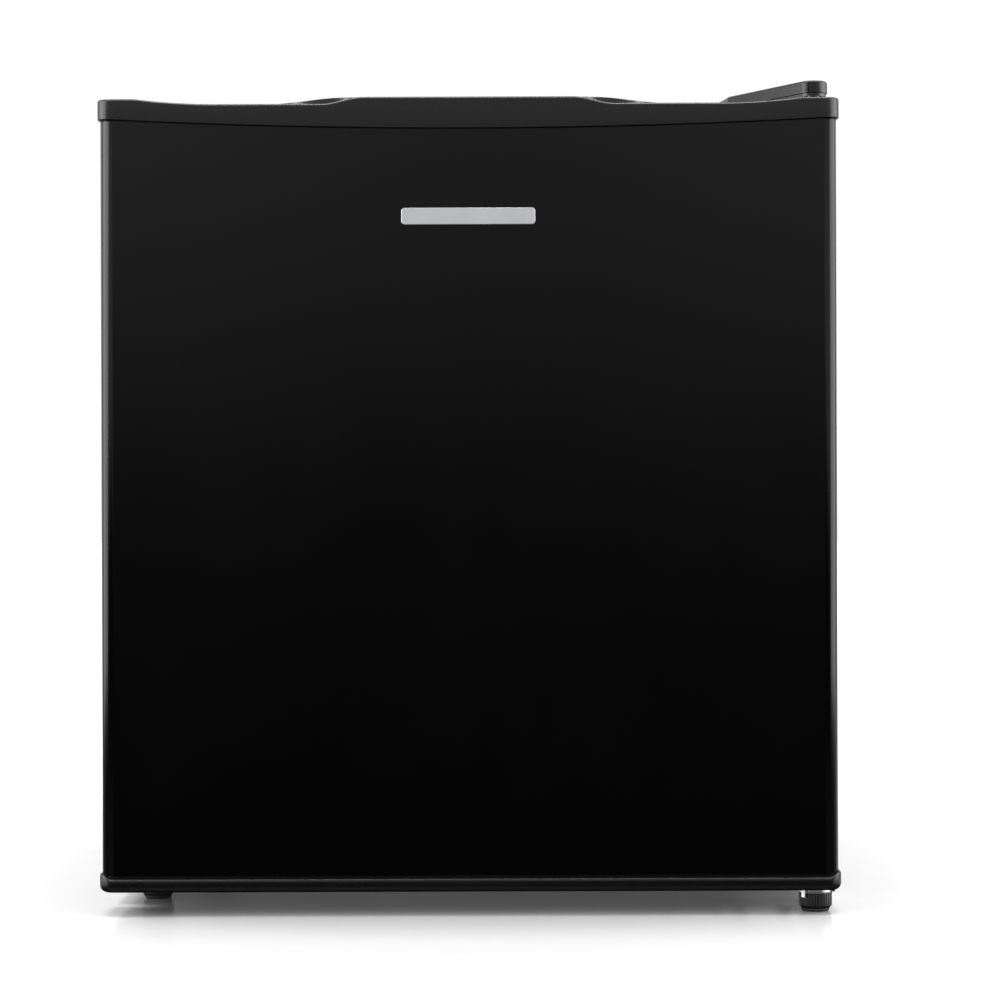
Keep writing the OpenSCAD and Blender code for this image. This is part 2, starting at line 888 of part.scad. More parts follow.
module thermostat_knob() {
    grip_count = 24;
    color([0.85, 0.87, 0.88])
        difference() {
            translate([knob_centre[0], stat_y0 - 0.5, knob_centre[2]])
                rotate([90, 0, 0])
                    difference() {
                        union() {
                            cylinder(d = knob_d, h = 4);
                            translate([0, 0, 3.9])
                                cylinder(d1 = knob_d - 6, d2 = knob_d - 9, h = 10);
                        }
                        for (i = [0 : grip_count - 1])
                            rotate(i * 360 / grip_count)
                                translate([knob_d / 2 - 2.6, 0, 4.5])
                                    cylinder(d = 2.2, h = 12, $fn = 16);
                    }
            rod_y([knob_centre[0], stat_y0 - 7.1, knob_centre[2]], 6.1, 20);
        }
}

module sensor_tube() {
    color(copper)
        pipe([[knob_centre[0], stat_y0 + 36.1, 404],
              [knob_centre[0], stat_y1 + 9, 404],
              [ice_right_x + 4, stat_y1 + 9, 404],
              [ice_right_x + 4, stat_y1 + 36, 404]], 2.4, 4);
}

// The door seen from above, with round front corners
module door_plan(half_w, y0, y1, r) {
    union() {
        translate([-half_w, y0 + r])
            square([2 * half_w, y1 - y0 - r]);
        translate([-half_w + r, y0])
            square([2 * (half_w - r), y1 - y0]);
        for (sx = [-1, 1])
            translate([sx * (half_w - r), y0 + r])
                circle(r);
    }
}

module door_skin() {
    in_y1 = door_back_y - liner_t;
    color(black)
        translate([0, 0, skin_low_z])
            linear_extrude(skin_high_z - skin_low_z)
                difference() {
                    door_plan(skin_half_w, skin_front_y, in_y1, door_corner_r);
                    door_plan(skin_half_w - sheet_t, skin_front_y + sheet_t, in_y1 - sheet_t,
                              door_corner_r - sheet_t);
                    translate([-skin_half_w + 14, door_back_y - 20])
                        square([2 * (skin_half_w - 14), 40]);
                }
}

dyke_low_z = mouth_low_z + 12;
dyke_high_z = mouth_high_z - 12;

// The ring-shaped ridge of the door liner, grown inwards by g
module dyke_form(y0, g) {
    front_slab(y0, door_back_y + dyke_reach - g)
        translate([0, (dyke_low_z + dyke_high_z) / 2])
            difference() {
                round_rect(2 * (dyke_half_w - g), dyke_high_z - dyke_low_z - 2 * g, 16 - g);
                round_rect(2 * (dyke_half_w - dyke_w + g), dyke_high_z - dyke_low_z - 2 * dyke_w + 2 * g, 10 + g);
            }
}

// The shallow recess between the ridges, grown by g
module liner_recess_form(g) {
    round_bar(-dyke_half_w + dyke_w - g, dyke_half_w - dyke_w + g,
              door_back_y - liner_recess - g, door_back_y + 1,
              dyke_low_z + dyke_w - g, dyke_high_z - dyke_w + g, 10 + g);
}

module bush_reliefs(grow) {
    rod_z([hinge_x, hinge_y, door_low_z - 5], 20 + grow, 21);
    rod_z([hinge_x, hinge_y, skin_high_z - 14], 20 + grow, 40);
}

module door_foam() {
    gap = sheet_t + 0.05;
    color([0.93, 0.88, 0.66])
        difference() {
            union() {
                translate([0, 0, skin_low_z])
                    linear_extrude(skin_high_z - skin_low_z)
                        door_plan(skin_half_w - gap, skin_front_y + gap, door_back_y - liner_t - gap,
                                  door_corner_r - gap);
                dyke_form(door_back_y - 10, liner_t + 0.05);
            }
            liner_recess_form(liner_t + 0.05);
            bush_reliefs(0.4);
        }
}

bin_low_z = [88, 350];
bin_high_z = [168, 392];
lug_rise = 8;
lug_y = -150;
lug_d = 8;

module door_liner() {
    plate_half_w = skin_half_w - 2;
    color(white)
        union() {
            difference() {
                union() {
                    front_slab(door_back_y - liner_t, door_back_y)
                        translate([0, (skin_low_z + skin_high_z) / 2])
                            round_rect(2 * plate_half_w, skin_high_z - skin_low_z - 2, 6);
                    dyke_form(door_back_y - liner_t, 0);
                    liner_recess_form(liner_t);
                }
                dyke_form(door_back_y - 20, liner_t);
                liner_recess_form(0);
            }
            for (sx = [-1, 1], z = bin_low_z)
                rod_x([sx * (dyke_half_w - dyke_w - 1.25) - 1.75, lug_y, z + lug_rise], lug_d, 3.5);
        }
}

gasket_half_w = mouth_half_w + 23;
gasket_w = 20;
gasket_low_z = mouth_low_z - 26;
gasket_high_z = mouth_high_z + 22;

module gasket_ring(y0, y1, inset, w) {
    mid_z = (gasket_low_z + gasket_high_z) / 2;
    h = gasket_high_z - gasket_low_z;
    front_slab(y0, y1)
        translate([0, mid_z])
            difference() {
                square([2 * (gasket_half_w - inset), h - 2 * inset], center = true);
                square([2 * (gasket_half_w - inset - w), h - 2 * inset - 2 * w], center = true);
            }
}

module door_gasket() {
    y0 = door_back_y;
    y1 = cab_front_y - gasket_gap;
    color([0.16, 0.16, 0.17])
        difference() {
            union() {
                gasket_ring(y0, y0 + 4, 5, 10);
                gasket_ring(y0 + 3.9, y1 - 5.5, 3, 13);
                gasket_ring(y1 - 5.6, y1, 0, gasket_w);
            }
            gasket_ring(y1 - 4.4, y1 - 1, 3.9, 12.2);
        }
}

module gasket_magnets() {
    y1 = cab_front_y - gasket_gap;
    mid_x = gasket_half_w - 10;
    color([0.25, 0.23, 0.22])
        union() {
            for (sx = [-1, 1])
                block([sx * mid_x - 6, y1 - 4.3, gasket_low_z + 17], [sx * mid_x + 6, y1 - 1.1, gasket_high_z - 17]);
            for (z = [gasket_low_z + 10, gasket_high_z - 10])
                block([-mid_x + 7, y1 - 4.3, z - 6], [mid_x - 7, y1 - 1.1, z + 6]);
        }
}

function smooth(t) = let (u = min(1, max(0, t))) u * u * (3 - 2 * u);

// Height of the top cap's upper edge: a raised middle, two scoops and level ends
function cap_upper_z(x) = let (a = abs(x))
    door_high_z
    - scoop_drop * smooth((a - plateau_w / 2 + 3) / 27)
    + (scoop_drop - end_drop) * smooth((a - end_land_x + 30) / 30);

// Height of the top cap's lower edge, a long shallow arc
function cap_lower_z(x) = door_high_z - cap_mid_h + x * x / (2 * cap_arc_r);

module top_cap_face() {
    steps = 48;
    half_w = fridge_w / 2;
    xs = [for (i = [0 : steps]) -half_w + i * 2 * half_w / steps];
    polygon(concat([for (x = xs) [x, cap_upper_z(x)]],
                   [for (i = [steps : -1 : 0]) [xs[i], cap_lower_z(xs[i])]]));
}

module bush_hole() {
    rod_z([hinge_x, hinge_y, -1], 14, 40);
    rod_z([hinge_x, hinge_y, skin_high_z - 14], 12, 60);
}

module door_top_cap() {
    roof_z = skin_high_z;
    color(black)
        difference() {
            intersection() {
                front_slab(front_y, door_back_y)
                    top_cap_face();
                linear_extrude(fridge_h)
                    door_plan(fridge_w / 2, front_y, door_back_y, door_corner_r + cap_overhang);
            }
            translate([0, 0, -1])
                linear_extrude(roof_z + 1)
                    union() {
                        door_plan(skin_half_w, skin_front_y, door_back_y - 1, door_corner_r);
                        translate([-skin_half_w, door_back_y - 3])
                            square([2 * skin_half_w, 10]);
                    }
            bush_hole();
        }
}

module door_bottom_cap() {
    corner_r = 5;
    roof_z = skin_low_z;
    color(black)
        difference() {
            intersection() {
                front_slab(front_y, door_back_y)
                    intersection() {
                        translate([0, door_low_z + 20])
                            round_rect(fridge_w, 40, corner_r);
                        translate([-fridge_w, 0])
                            square([2 * fridge_w, bottom_cap_top_z]);
                    }
                linear_extrude(fridge_h)
                    door_plan(fridge_w / 2, front_y, door_back_y, door_corner_r + cap_overhang);
            }
            translate([0, 0, door_low_z + 4])
                linear_extrude(fridge_h)
                    door_plan(skin_half_w, skin_front_y, door_back_y + 1, door_corner_r);
            bush_hole();
            for (x = cap_screw_x)
                rod_z([x, front_y + 20, 0], 3.5, door_low_z + 9);
        }
    color(black)
        difference() {
            union() {
                block([-skin_half_w + 12, skin_front_y + 3, door_low_z + 4],
                      [hinge_x - 12, door_back_y - 4, roof_z]);
                rod_z([hinge_x, hinge_y, door_low_z + 4], 19.8, 8);
            }
            bush_hole();
            for (x = cap_screw_x)
                rod_z([x, front_y + 20, 0], 3.5, door_low_z + 9);
        }
}

cap_screw_x = [-139, 60];

module cap_screws() {
    color(zinc)
        for (x = cap_screw_x)
            translate([x, front_y + 20, door_low_z])
                union() {
                    translate([0, 0, -2.4])
                        cylinder(d = 7, h = 2.4);
                    cylinder(d = 3.5, h = 9);
                }
}

module lower_bush() {
    color(white)
        difference() {
            union() {
                rod_z([hinge_x, hinge_y, door_low_z], 14, 14);
                rod_z([hinge_x, hinge_y, cab_bottom_z], 18, bush_flange_t);
            }
            rod_z([hinge_x, hinge_y, 0], lower_pin_d + 2 * pin_clearance, 60);
        }
}

module upper_bush() {
    color(white)
        difference() {
            rod_z([hinge_x, hinge_y, skin_high_z - 5], 12, door_high_z - end_drop - skin_high_z + 5);
            rod_z([hinge_x, hinge_y, skin_high_z - 6], upper_pin_d + 2 * pin_clearance, 60);
        }
}

module nameplate() {
    plate_w = 80;
    plate_h = 10;
    color(zinc)
        round_bar(-plate_w / 2, plate_w / 2, skin_front_y - 0.7, skin_front_y,
                  418 - plate_h / 2, 418 + plate_h / 2, 2);
}

// An open-topped door bin with slots that drop over the liner's lugs
module door_bin(index) {
    t = 2.2;
    corner_r = 13;
    plan_r = 8;
    half_w = dyke_half_w - dyke_w - 0.6;
    y0 = door_back_y - liner_recess + 0.6;
    y1 = -100;
    low_z = bin_low_z[index];
    high_z = bin_high_z[index];
    slot_w = lug_d + 0.6;
    slot_top_z = low_z + lug_rise + lug_d / 2 + 0.3;
    difference() {
        round_tub(-half_w, half_w, y0, y1, low_z, high_z + corner_r, corner_r, plan_r);
        round_tub(-half_w + t, half_w - t, y0 + t, y1 - t, low_z + t, high_z + 2 * corner_r,
                  corner_r - t, plan_r - t);
        block([-fridge_w, y0 - 1, high_z], [fridge_w, y1 + 1, high_z + 2 * corner_r]);
        for (sx = [-1, 1])
            block([sx * half_w - 3 * t, lug_y - slot_w / 2, low_z - 1],
                  [sx * half_w + 3 * t, lug_y + slot_w / 2, slot_top_z]);
    }
}

module bottle_bin() {
    color(white)
        door_bin(0);
}

module upper_bin() {
    color(white)
        door_bin(1);
}

cabinet_wrap();
back_panel();
floor_plate();
front_crossbar();
bay_panel();
cabinet_foam();
inner_liner();
compressor_tray();
rear_feet();
compressor_top();
compressor_base();
compressor_legs();
rubber_mounts();
mount_bolts();
relay_box();
condenser_tube();
condenser_wires();
condenser_clips();
wall_spacers();
filter_drier();
discharge_pipe();
suction_pipe();
capillary_tube();
cord_gland();
upper_hinge_plate();
upper_hinge_pin();
upper_hinge_screws();
hinge_cover();
hinge_hole_plugs();
lower_hinge_bracket();
lower_hinge_screws();
foot_insert();
left_foot_pad();
left_foot_screw();
right_foot_pad();
right_foot_screw();
evaporator_box();
evaporator_spacers();
ice_box_frame();
ice_box_flap();
drip_tray();
wire_shelf();
thermostat_housing();
thermostat_switch();
thermostat_knob();
sensor_tube();
door_skin();
door_foam();
door_liner();
door_gasket();
gasket_magnets();
door_top_cap();
door_bottom_cap();
cap_screws();
upper_bush();
lower_bush();
nameplate();
upper_bin();
bottle_bin();
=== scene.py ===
"""Looks of a table-top mini fridge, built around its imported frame.

Each sub-assembly is a class with its sizes as fields, each finish is a small frozen
class, and main() builds them in order. All lengths are in metres.
"""

import logging
import math
import random
from dataclasses import dataclass, field
from enum import Enum
from typing import Callable, Iterable, Optional, Sequence

import bmesh
import bpy
from mathutils import Matrix, Vector


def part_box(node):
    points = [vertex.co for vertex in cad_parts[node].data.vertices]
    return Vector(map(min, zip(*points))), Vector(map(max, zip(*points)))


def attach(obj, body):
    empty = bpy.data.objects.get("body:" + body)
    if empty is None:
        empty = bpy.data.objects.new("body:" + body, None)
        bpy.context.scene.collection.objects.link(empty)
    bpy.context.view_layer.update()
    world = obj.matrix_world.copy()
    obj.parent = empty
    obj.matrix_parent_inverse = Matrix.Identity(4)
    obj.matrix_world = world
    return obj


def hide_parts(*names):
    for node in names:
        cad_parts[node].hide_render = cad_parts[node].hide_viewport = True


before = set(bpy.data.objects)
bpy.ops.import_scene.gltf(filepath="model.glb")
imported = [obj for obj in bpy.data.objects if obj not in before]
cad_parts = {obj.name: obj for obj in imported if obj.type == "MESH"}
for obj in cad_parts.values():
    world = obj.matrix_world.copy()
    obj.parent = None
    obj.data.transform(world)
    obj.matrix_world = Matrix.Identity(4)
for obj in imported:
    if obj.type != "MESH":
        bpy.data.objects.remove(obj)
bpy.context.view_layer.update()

log = logging.getLogger("mini_fridge")

MM = 0.001
LEAST_RADIUS = 1e-5
WELD_GAP = 1e-6
Point = tuple[float, float, float]
Flat = tuple[float, float]
Colour = tuple[float, float, float]


# ---------------------------------------------------------------- shader tools


class Field:
    """A shader socket that can be used in ordinary arithmetic."""

    def __init__(self, graph: "Graph", socket: bpy.types.NodeSocket) -> None:
        """Keeps the graph that owns the socket."""
        self.graph = graph
        self.socket = socket

    def _with(self, operation: str, a: "Field | float", b: "Field | float") -> "Field":
        """Adds one Math node for an expression of two operands."""
        return self.graph.math(operation, a, b)

    def __add__(self, other: "Field | float") -> "Field":
        """Sum of two fields."""
        return self._with("ADD", self, other)

    def __radd__(self, other: float) -> "Field":
        """Sum with a number on the left."""
        return self._with("ADD", other, self)

    def __sub__(self, other: "Field | float") -> "Field":
        """Difference of two fields."""
        return self._with("SUBTRACT", self, other)

    def __rsub__(self, other: float) -> "Field":
        """Difference from a number on the left."""
        return self._with("SUBTRACT", other, self)

    def __mul__(self, other: "Field | float") -> "Field":
        """Product of two fields."""
        return self._with("MULTIPLY", self, other)

    def __rmul__(self, other: float) -> "Field":
        """Product with a number on the left."""
        return self._with("MULTIPLY", other, self)

    def clamped(self) -> "Field":
        """The field held between 0 and 1."""
        return self.graph.math("ADD", self, 0.0, clamp=True)


class Graph:
    """The node tree of one material, with short ways to add its nodes."""

    def __init__(self, name: str) -> None:
        """Makes an empty material with its output and one Principled shader.

        Args:
            name: The material's name.
        """
        self.material = bpy.data.materials.new(name)
        self.material.use_nodes = True
        self.tree = self.material.node_tree
        self.tree.nodes.clear()
        self.output = self.tree.nodes.new("ShaderNodeOutputMaterial")
        self.shader = self.tree.nodes.new("ShaderNodeBsdfPrincipled")
        self.tree.links.new(self.shader.outputs["BSDF"], self.output.inputs["Surface"])

    def node(
        self, kind: str, settings: Optional[dict] = None, sockets: Optional[dict] = None
    ) -> bpy.types.Node:
        """Adds a node, makes its settings, then fills its sockets.

        Args:
            kind: The node's type name.
            settings: Attributes to set; "stops" holds a colour ramp's (place, value) pairs.
            sockets: Input socket names or numbers, each with a value or a Field to link.

        Returns:
            The new node.
        """
        made = self.tree.nodes.new(kind)
        for key, value in (settings or {}).items():
            if key == "stops":
                self._set_stops(made.color_ramp, value)
            else:
                setattr(made, key, value)
        for key, value in (sockets or {}).items():
            self.feed(made.inputs[key], value)
        return made

    @staticmethod
    def _set_stops(ramp: bpy.types.ColorRamp, stops: Sequence[Flat]) -> None:
        """Writes a grey ramp's stops.

        Args:
            ramp: The ramp to write on.
            stops: Its (place, value) pairs.
        """
        while len(ramp.elements) < len(stops):
            ramp.elements.new(0.5)
        for element, (place, value) in zip(ramp.elements, stops):
            element.position = place
            element.color = (value, value, value, 1.0)

    def feed(self, socket: bpy.types.NodeSocket, value: object) -> None:
        """Links a Field to a socket, or writes a plain value on it.

        Args:
            socket: The input socket.
            value: A Field, or a number, colour or vector.
        """
        if isinstance(value, Field):
            self.tree.links.new(value.socket, socket)
        else:
            socket.default_value = value

    def math(
        self, operation: str, a: "Field | float", b: "Field | float" = 0.0, clamp: bool = False
    ) -> Field:
        """Adds a Math node and returns its result."""
        made = self.node("ShaderNodeMath", {"operation": operation, "use_clamp": clamp}, {0: a, 1: b})
        return Field(self, made.outputs[0])

    def place(self) -> Field:
        """The point's position on the object, in metres."""
        return Field(self, self.node("ShaderNodeTexCoord").outputs["Object"])

    def stretched(self, scale: Point) -> Field:
        """The point's position, scaled apart along each axis."""
        made = self.node("ShaderNodeVectorMath", {"operation": "MULTIPLY"}, {0: self.place(), 1: scale})
        return Field(self, made.outputs[0])

    def axis(self, index: int) -> Field:
        """One coordinate of the point's position."""
        made = self.node("ShaderNodeSeparateXYZ", None, {0: self.place()})
        return Field(self, made.outputs[index])

    def noise(
        self, scale: float, detail: float = 3.0, rough: float = 0.5, at: Optional[Field] = None
    ) -> Field:
        """Soft noise from 0 to 1; the scale is in cycles a metre."""
        sockets = {"Vector": at or self.place(), "Scale": scale, "Detail": detail, "Roughness": rough}
        return Field(self, self.node("ShaderNodeTexNoise", None, sockets).outputs[0])

    def cells(self, scale: float, output: str = "Distance") -> Field:
        """Cell noise; the output is the distance to a cell's centre or its colour."""
        made = self.node("ShaderNodeTexVoronoi", None, {"Vector": self.place(), "Scale": scale})
        return Field(self, made.outputs[output])

    def ramp(self, value: Field, stops: Sequence[Flat]) -> Field:
        """Maps a field through a grey ramp."""
        made = self.node("ShaderNodeValToRGB", {"stops": stops}, {0: value})
        return Field(self, made.outputs[0])

    def blend(self, mask: Field, low: Colour, high: Colour) -> Field:
        """Mixes two colours by a mask."""
        made = self.node("ShaderNodeMix", {"data_type": "RGBA"}, {0: mask, 6: (*low, 1.0), 7: (*high, 1.0)})
        return Field(self, made.outputs[2])

    def edge_wear(self, radius: float) -> Field:
        """Finds sharp outer edges by a rounded normal.

        Args:
            radius: How wide the edges are taken to be.

        Returns:
            A mask that is 1 along the edges.
        """
        bevel = self.node("ShaderNodeBevel", {"samples": 4}, {"Radius": radius})
        smooth = Field(self, bevel.outputs[0])
        true = Field(self, self.node("ShaderNodeNewGeometry").outputs["Normal"])
        dot = self.node("ShaderNodeVectorMath", {"operation": "DOT_PRODUCT"}, {0: smooth, 1: true})
        return self.ramp(Field(self, dot.outputs["Value"]), [(0.80, 1.0), (0.97, 0.0)])

    def bump(self, height: Field, strength: float, distance: float) -> None:
        """Feeds a height field through a Bump node into the shader's normal.

        Args:
            height: The height field.
            strength: How strongly it shows, from 0 to 1.
            distance: Depth that a height of 1 stands for.
        """
        sockets = {"Strength": strength, "Distance": distance, "Height": height}
        made = self.node("ShaderNodeBump", None, sockets)
        self.tree.links.new(made.outputs[0], self.shader.inputs["Normal"])

    def finish(self, **sockets: object) -> bpy.types.Material:
        """Fills the Principled shader's sockets by name and returns the material.

        Args:
            **sockets: Socket names with "_" for blanks, each with a value or a Field.

        Returns:
            The finished material.
        """
        for key, value in sockets.items():
            self.feed(self.shader.inputs[key.replace("_", " ")], value)
        return self.material


class Sky(Graph):
    """The same shader tools on the world's own nodes."""

    def __init__(self, name: str) -> None:
        """Makes the world and takes its node tree.

        Args:
            name: The world's name.
        """
        world = bpy.data.worlds.new(name)
        world.use_nodes = True
        bpy.context.scene.world = world
        self.tree = world.node_tree
        self.background = self.tree.nodes["Background"]

    def direction(self, index: int) -> Field:
        """One part of the direction that the sky is seen in."""
        place = Field(self, self.node("ShaderNodeTexCoord").outputs["Generated"])
        return Field(self, self.node("ShaderNodeSeparateXYZ", None, {0: place}).outputs[index])

    def shine(self, brightness: Field) -> None:
        """Feeds a brightness to the background."""
        self.feed(self.background.inputs["Color"], brightness)


# ---------------------------------------------------------------- finishes


@dataclass(frozen=True)
class CoatedSteel:
    """Sheet steel with a baked black coat: almost smooth, with a faint orange peel."""

    name: str
    colour: Colour = (0.0003, 0.0003, 0.0004)
    worn: Colour = (0.0022, 0.0022, 0.0023)
    rough: float = 0.20
    specular: float = 0.25
    peel: float = 0.05

    def build(self) -> bpy.types.Material:
        """Makes the material.

        Returns:
            The new material.
        """
        g = Graph(self.name)
        haze = g.noise(9.0, 4.0)
        grain = g.noise(1900.0, 2.0)
        wipes = g.noise(30.0, 5.0, 0.6, g.stretched((1.0, 1.0, 0.25)))
        edge = g.edge_wear(0.0008)
        g.bump(g.noise(420.0, 2.0) + grain * 0.25, self.peel, 0.0002)
        return g.finish(
            Base_Color=g.blend((edge * 0.5 + haze * 0.25).clamped(), self.colour, self.worn),
            Roughness=(self.rough - 0.05 + haze * 0.05 + wipes * 0.05).clamped(),
            Specular_IOR_Level=self.specular,
            Metallic=0.0,
        )


@dataclass(frozen=True)
class GrainedPlastic:
    """Moulded plastic with the fine pebble grain of an etched mould."""

    name: str
    colour: Colour
    light: Colour
    rough: float = 0.42
    grain: float = 2400.0
    depth: float = 0.12
    specular: float = 0.4

    def build(self) -> bpy.types.Material:
        """Makes the material.

        Returns:
            The new material.
        """
        g = Graph(self.name)
        pebble = g.ramp(g.cells(self.grain), [(0.15, 0.0), (0.75, 1.0)])
        cloud = g.noise(14.0, 4.0)
        edge = g.edge_wear(0.0008)
        g.bump(pebble + g.noise(self.grain * 0.6, 2.0) * 0.5, self.depth, 0.00012)
        return g.finish(
            Base_Color=g.blend((edge * 0.55 + cloud * 0.35).clamped(), self.colour, self.light),
            Roughness=(self.rough - 0.06 + cloud * 0.08 + pebble * 0.05).clamped(),
            Specular_IOR_Level=self.specular,
        )


@dataclass(frozen=True)
class GlossyPolymer:
    """Smooth white or tinted plastic with faint flow waves, as a formed liner has."""

    name: str
    colour: Colour
    shade: Colour
    rough: float = 0.22
    wave: float = 0.12
    transmission: float = 0.0
    specular: float = 0.45

    def build(self) -> bpy.types.Material:
        """Makes the material.

        Returns:
            The new material.
        """
        g = Graph(self.name)
        cloud = g.noise(7.0, 3.0)
        speck = g.ramp(g.noise(600.0, 2.0), [(0.35, 0.0), (0.65, 1.0)])
        g.bump(g.noise(26.0, 2.0) + speck * 0.04, self.wave, 0.0009)
        return g.finish(
            Base_Color=g.blend((cloud * 0.7 + speck * 0.1).clamped(), self.colour, self.shade),
            Roughness=(self.rough - 0.04 + cloud * 0.07 + speck * 0.03).clamped(),
            Specular_IOR_Level=self.specular,
            Transmission_Weight=self.transmission,
            IOR=1.5,
        )


@dataclass(frozen=True)
class Spangle:
    """Hot-dip galvanised sheet, with the flat crystals of its zinc."""

    name: str
    light: Colour = (0.64, 0.66, 0.68)
    dark: Colour = (0.50, 0.52, 0.54)

    def build(self) -> bpy.types.Material:
        """Makes the material.

        Returns:
            The new material.
        """
        g = Graph(self.name)
        crystal = g.cells(150.0, "Color")
        tone = g.ramp(crystal, [(0.1, 0.1), (0.9, 0.9)])
        streak = g.noise(240.0, 3.0, 0.6, g.stretched((0.15, 1.0, 1.0)))
        g.bump(tone + streak * 0.3, 0.05, 0.00005)
        return g.finish(
            Base_Color=g.blend((tone * 0.7 + streak * 0.3).clamped(), self.dark, self.light),
            Roughness=(0.42 + tone * 0.14 + streak * 0.06).clamped(),
            Metallic=1.0,
        )


@dataclass(frozen=True)
class PlatedMetal:
    """Drawn, turned or plated metal, with fine marks along one axis and light staining."""

    name: str
    colour: Colour
    stain: Colour
    rough: float = 0.28
    marks: Point = (40.0, 40.0, 900.0)
    staining: float = 0.5

    def build(self) -> bpy.types.Material:
        """Makes the material.

        Returns:
            The new material.
        """
        g = Graph(self.name)
        line = g.noise(1.0, 4.0, 0.6, g.stretched(self.marks))
        patch = g.ramp(g.noise(60.0, 5.0, 0.65), [(0.42, 0.0), (0.75, 1.0)])
        g.bump(line, 0.10, 0.00012)
        return g.finish(
            Base_Color=g.blend((patch * self.staining + line * 0.15).clamped(), self.colour, self.stain),
            Roughness=(self.rough - 0.05 + line * 0.12 + patch * 0.15).clamped(),
            Metallic=1.0,
        )


@dataclass(frozen=True)
class SoftRubber:
    """Vinyl or rubber, matt with a faint bloom."""

    name: str
    colour: Colour = (0.020, 0.020, 0.021)
    bloom: Colour = (0.055, 0.055, 0.056)
    rough: float = 0.62

    def build(self) -> bpy.types.Material:
        """Makes the material.

        Returns:
            The new material.
        """
        g = Graph(self.name)
        cloud = g.noise(45.0, 5.0, 0.6)
        grit = g.noise(2600.0, 2.0)
        g.bump(grit + cloud * 0.3, 0.18, 0.00015)
        return g.finish(
            Base_Color=g.blend(g.ramp(cloud, [(0.35, 0.0), (0.8, 1.0)]), self.colour, self.bloom),
            Roughness=(self.rough + cloud * 0.15).clamped(),
            Specular_IOR_Level=0.35,
        )


@dataclass(frozen=True)
class RigidFoam:
    """Blown urethane foam, full of small cells, each cell's pit painted darker as shade in the hollow."""

    name: str
    colour: Colour = (0.80, 0.70, 0.42)
    pit_shade: Colour = (0.55, 0.45, 0.24)

    def build(self) -> bpy.types.Material:
        """Makes the material.

        Returns:
            The new material.
        """
        g = Graph(self.name)
        cell = g.ramp(g.cells(700.0), [(0.1, 0.0), (0.7, 1.0)])
        cloud = g.noise(22.0, 4.0)
        g.bump(cell, 0.5, 0.0004)
        # Colour darker in each cell's pit: painted shade in the hollows, mixed with random cloudy tone.
        return g.finish(
            Base_Color=g.blend((cell * 0.6 + cloud * 0.3).clamped(), self.pit_shade, self.colour),
            Roughness=0.85,
        )


class Finish(Enum):
    """Every finish on the fridge, by what it covers."""

    DOOR_STEEL = CoatedSteel("door_black_coat")
    WRAP_STEEL = CoatedSteel(
        "cabinet_black_coat", (0.004, 0.004, 0.0045), (0.016, 0.016, 0.017), 0.38, 0.4, 0.12
    )
    CAP_PLASTIC = GrainedPlastic(
        "door_cap_plastic", (0.0014, 0.0014, 0.0016), (0.0060, 0.0060, 0.0064), 0.27, 2400.0, 0.10, 0.36
    )
    FOOT_PLASTIC = GrainedPlastic("foot_plastic", (0.0020, 0.0020, 0.0021), (0.010, 0.010, 0.010), 0.42)
    RELAY_PLASTIC = GrainedPlastic(
        "relay_plastic", (0.018, 0.018, 0.020), (0.045, 0.045, 0.047), 0.55, 1500.0, 0.25
    )
    LINER_WHITE = GlossyPolymer("liner_white", (0.78, 0.80, 0.80), (0.70, 0.72, 0.73))
    TRIM_WHITE = GlossyPolymer("trim_white", (0.80, 0.81, 0.81), (0.73, 0.74, 0.75), 0.30, 0.05)
    BIN_CLEAR = GlossyPolymer("bin_clear", (0.86, 0.92, 0.94), (0.78, 0.86, 0.89), 0.14, 0.08, 0.75)
    FLAP_FROSTED = GlossyPolymer("flap_frosted", (0.80, 0.88, 0.92), (0.70, 0.80, 0.86), 0.30, 0.15, 0.45)
    KNOB_GREY = GlossyPolymer("knob_grey", (0.62, 0.65, 0.67), (0.54, 0.57, 0.59), 0.28, 0.04)
    DIAL_INK = GrainedPlastic("dial_ink", (0.03, 0.09, 0.20), (0.05, 0.12, 0.24), 0.5, 900.0, 0.05)
    NYLON = GlossyPolymer("bush_nylon", (0.82, 0.82, 0.79), (0.74, 0.74, 0.70), 0.40, 0.05)
    WIRE_COAT = GlossyPolymer("shelf_wire_coat", (0.80, 0.81, 0.82), (0.72, 0.73, 0.74), 0.20, 0.08)
    GALVANISED = Spangle("galvanised_sheet")
    ZINC = PlatedMetal(
        "zinc_plate", (0.70, 0.71, 0.72), (0.50, 0.50, 0.47), 0.26, (300.0, 300.0, 60.0), 0.35
    )
    COPPER = PlatedMetal(
        "copper_tube", (0.83, 0.42, 0.25), (0.38, 0.17, 0.09), 0.26, (60.0, 60.0, 60.0), 0.7
    )
    ALUMINIUM = PlatedMetal(
        "ice_box_aluminium", (0.80, 0.81, 0.83), (0.66, 0.68, 0.71), 0.34, (20.0, 700.0, 700.0), 0.3
    )
    BADGE = PlatedMetal(
        "badge_satin", (0.86, 0.87, 0.88), (0.74, 0.75, 0.76), 0.34, (8.0, 900.0, 2400.0), 0.15
    )
    BLACK_PAINT = CoatedSteel("black_enamel", (0.006, 0.006, 0.006), (0.030, 0.030, 0.030), 0.30, 0.5, 0.5)
    RUBBER = SoftRubber("rubber")
    GASKET = SoftRubber("gasket_vinyl", (0.030, 0.030, 0.032), (0.050, 0.050, 0.052), 0.5)
    MAGNET = SoftRubber("magnet_strip", (0.05, 0.04, 0.035), (0.08, 0.07, 0.06), 0.7)
    FOAM = RigidFoam("urethane_foam")

    def material(self) -> bpy.types.Material:
        """Gives the finish's material, built once."""
        found = bpy.data.materials.get(self.value.name)
        return found or self.value.build()


# ---------------------------------------------------------------- mesh tools


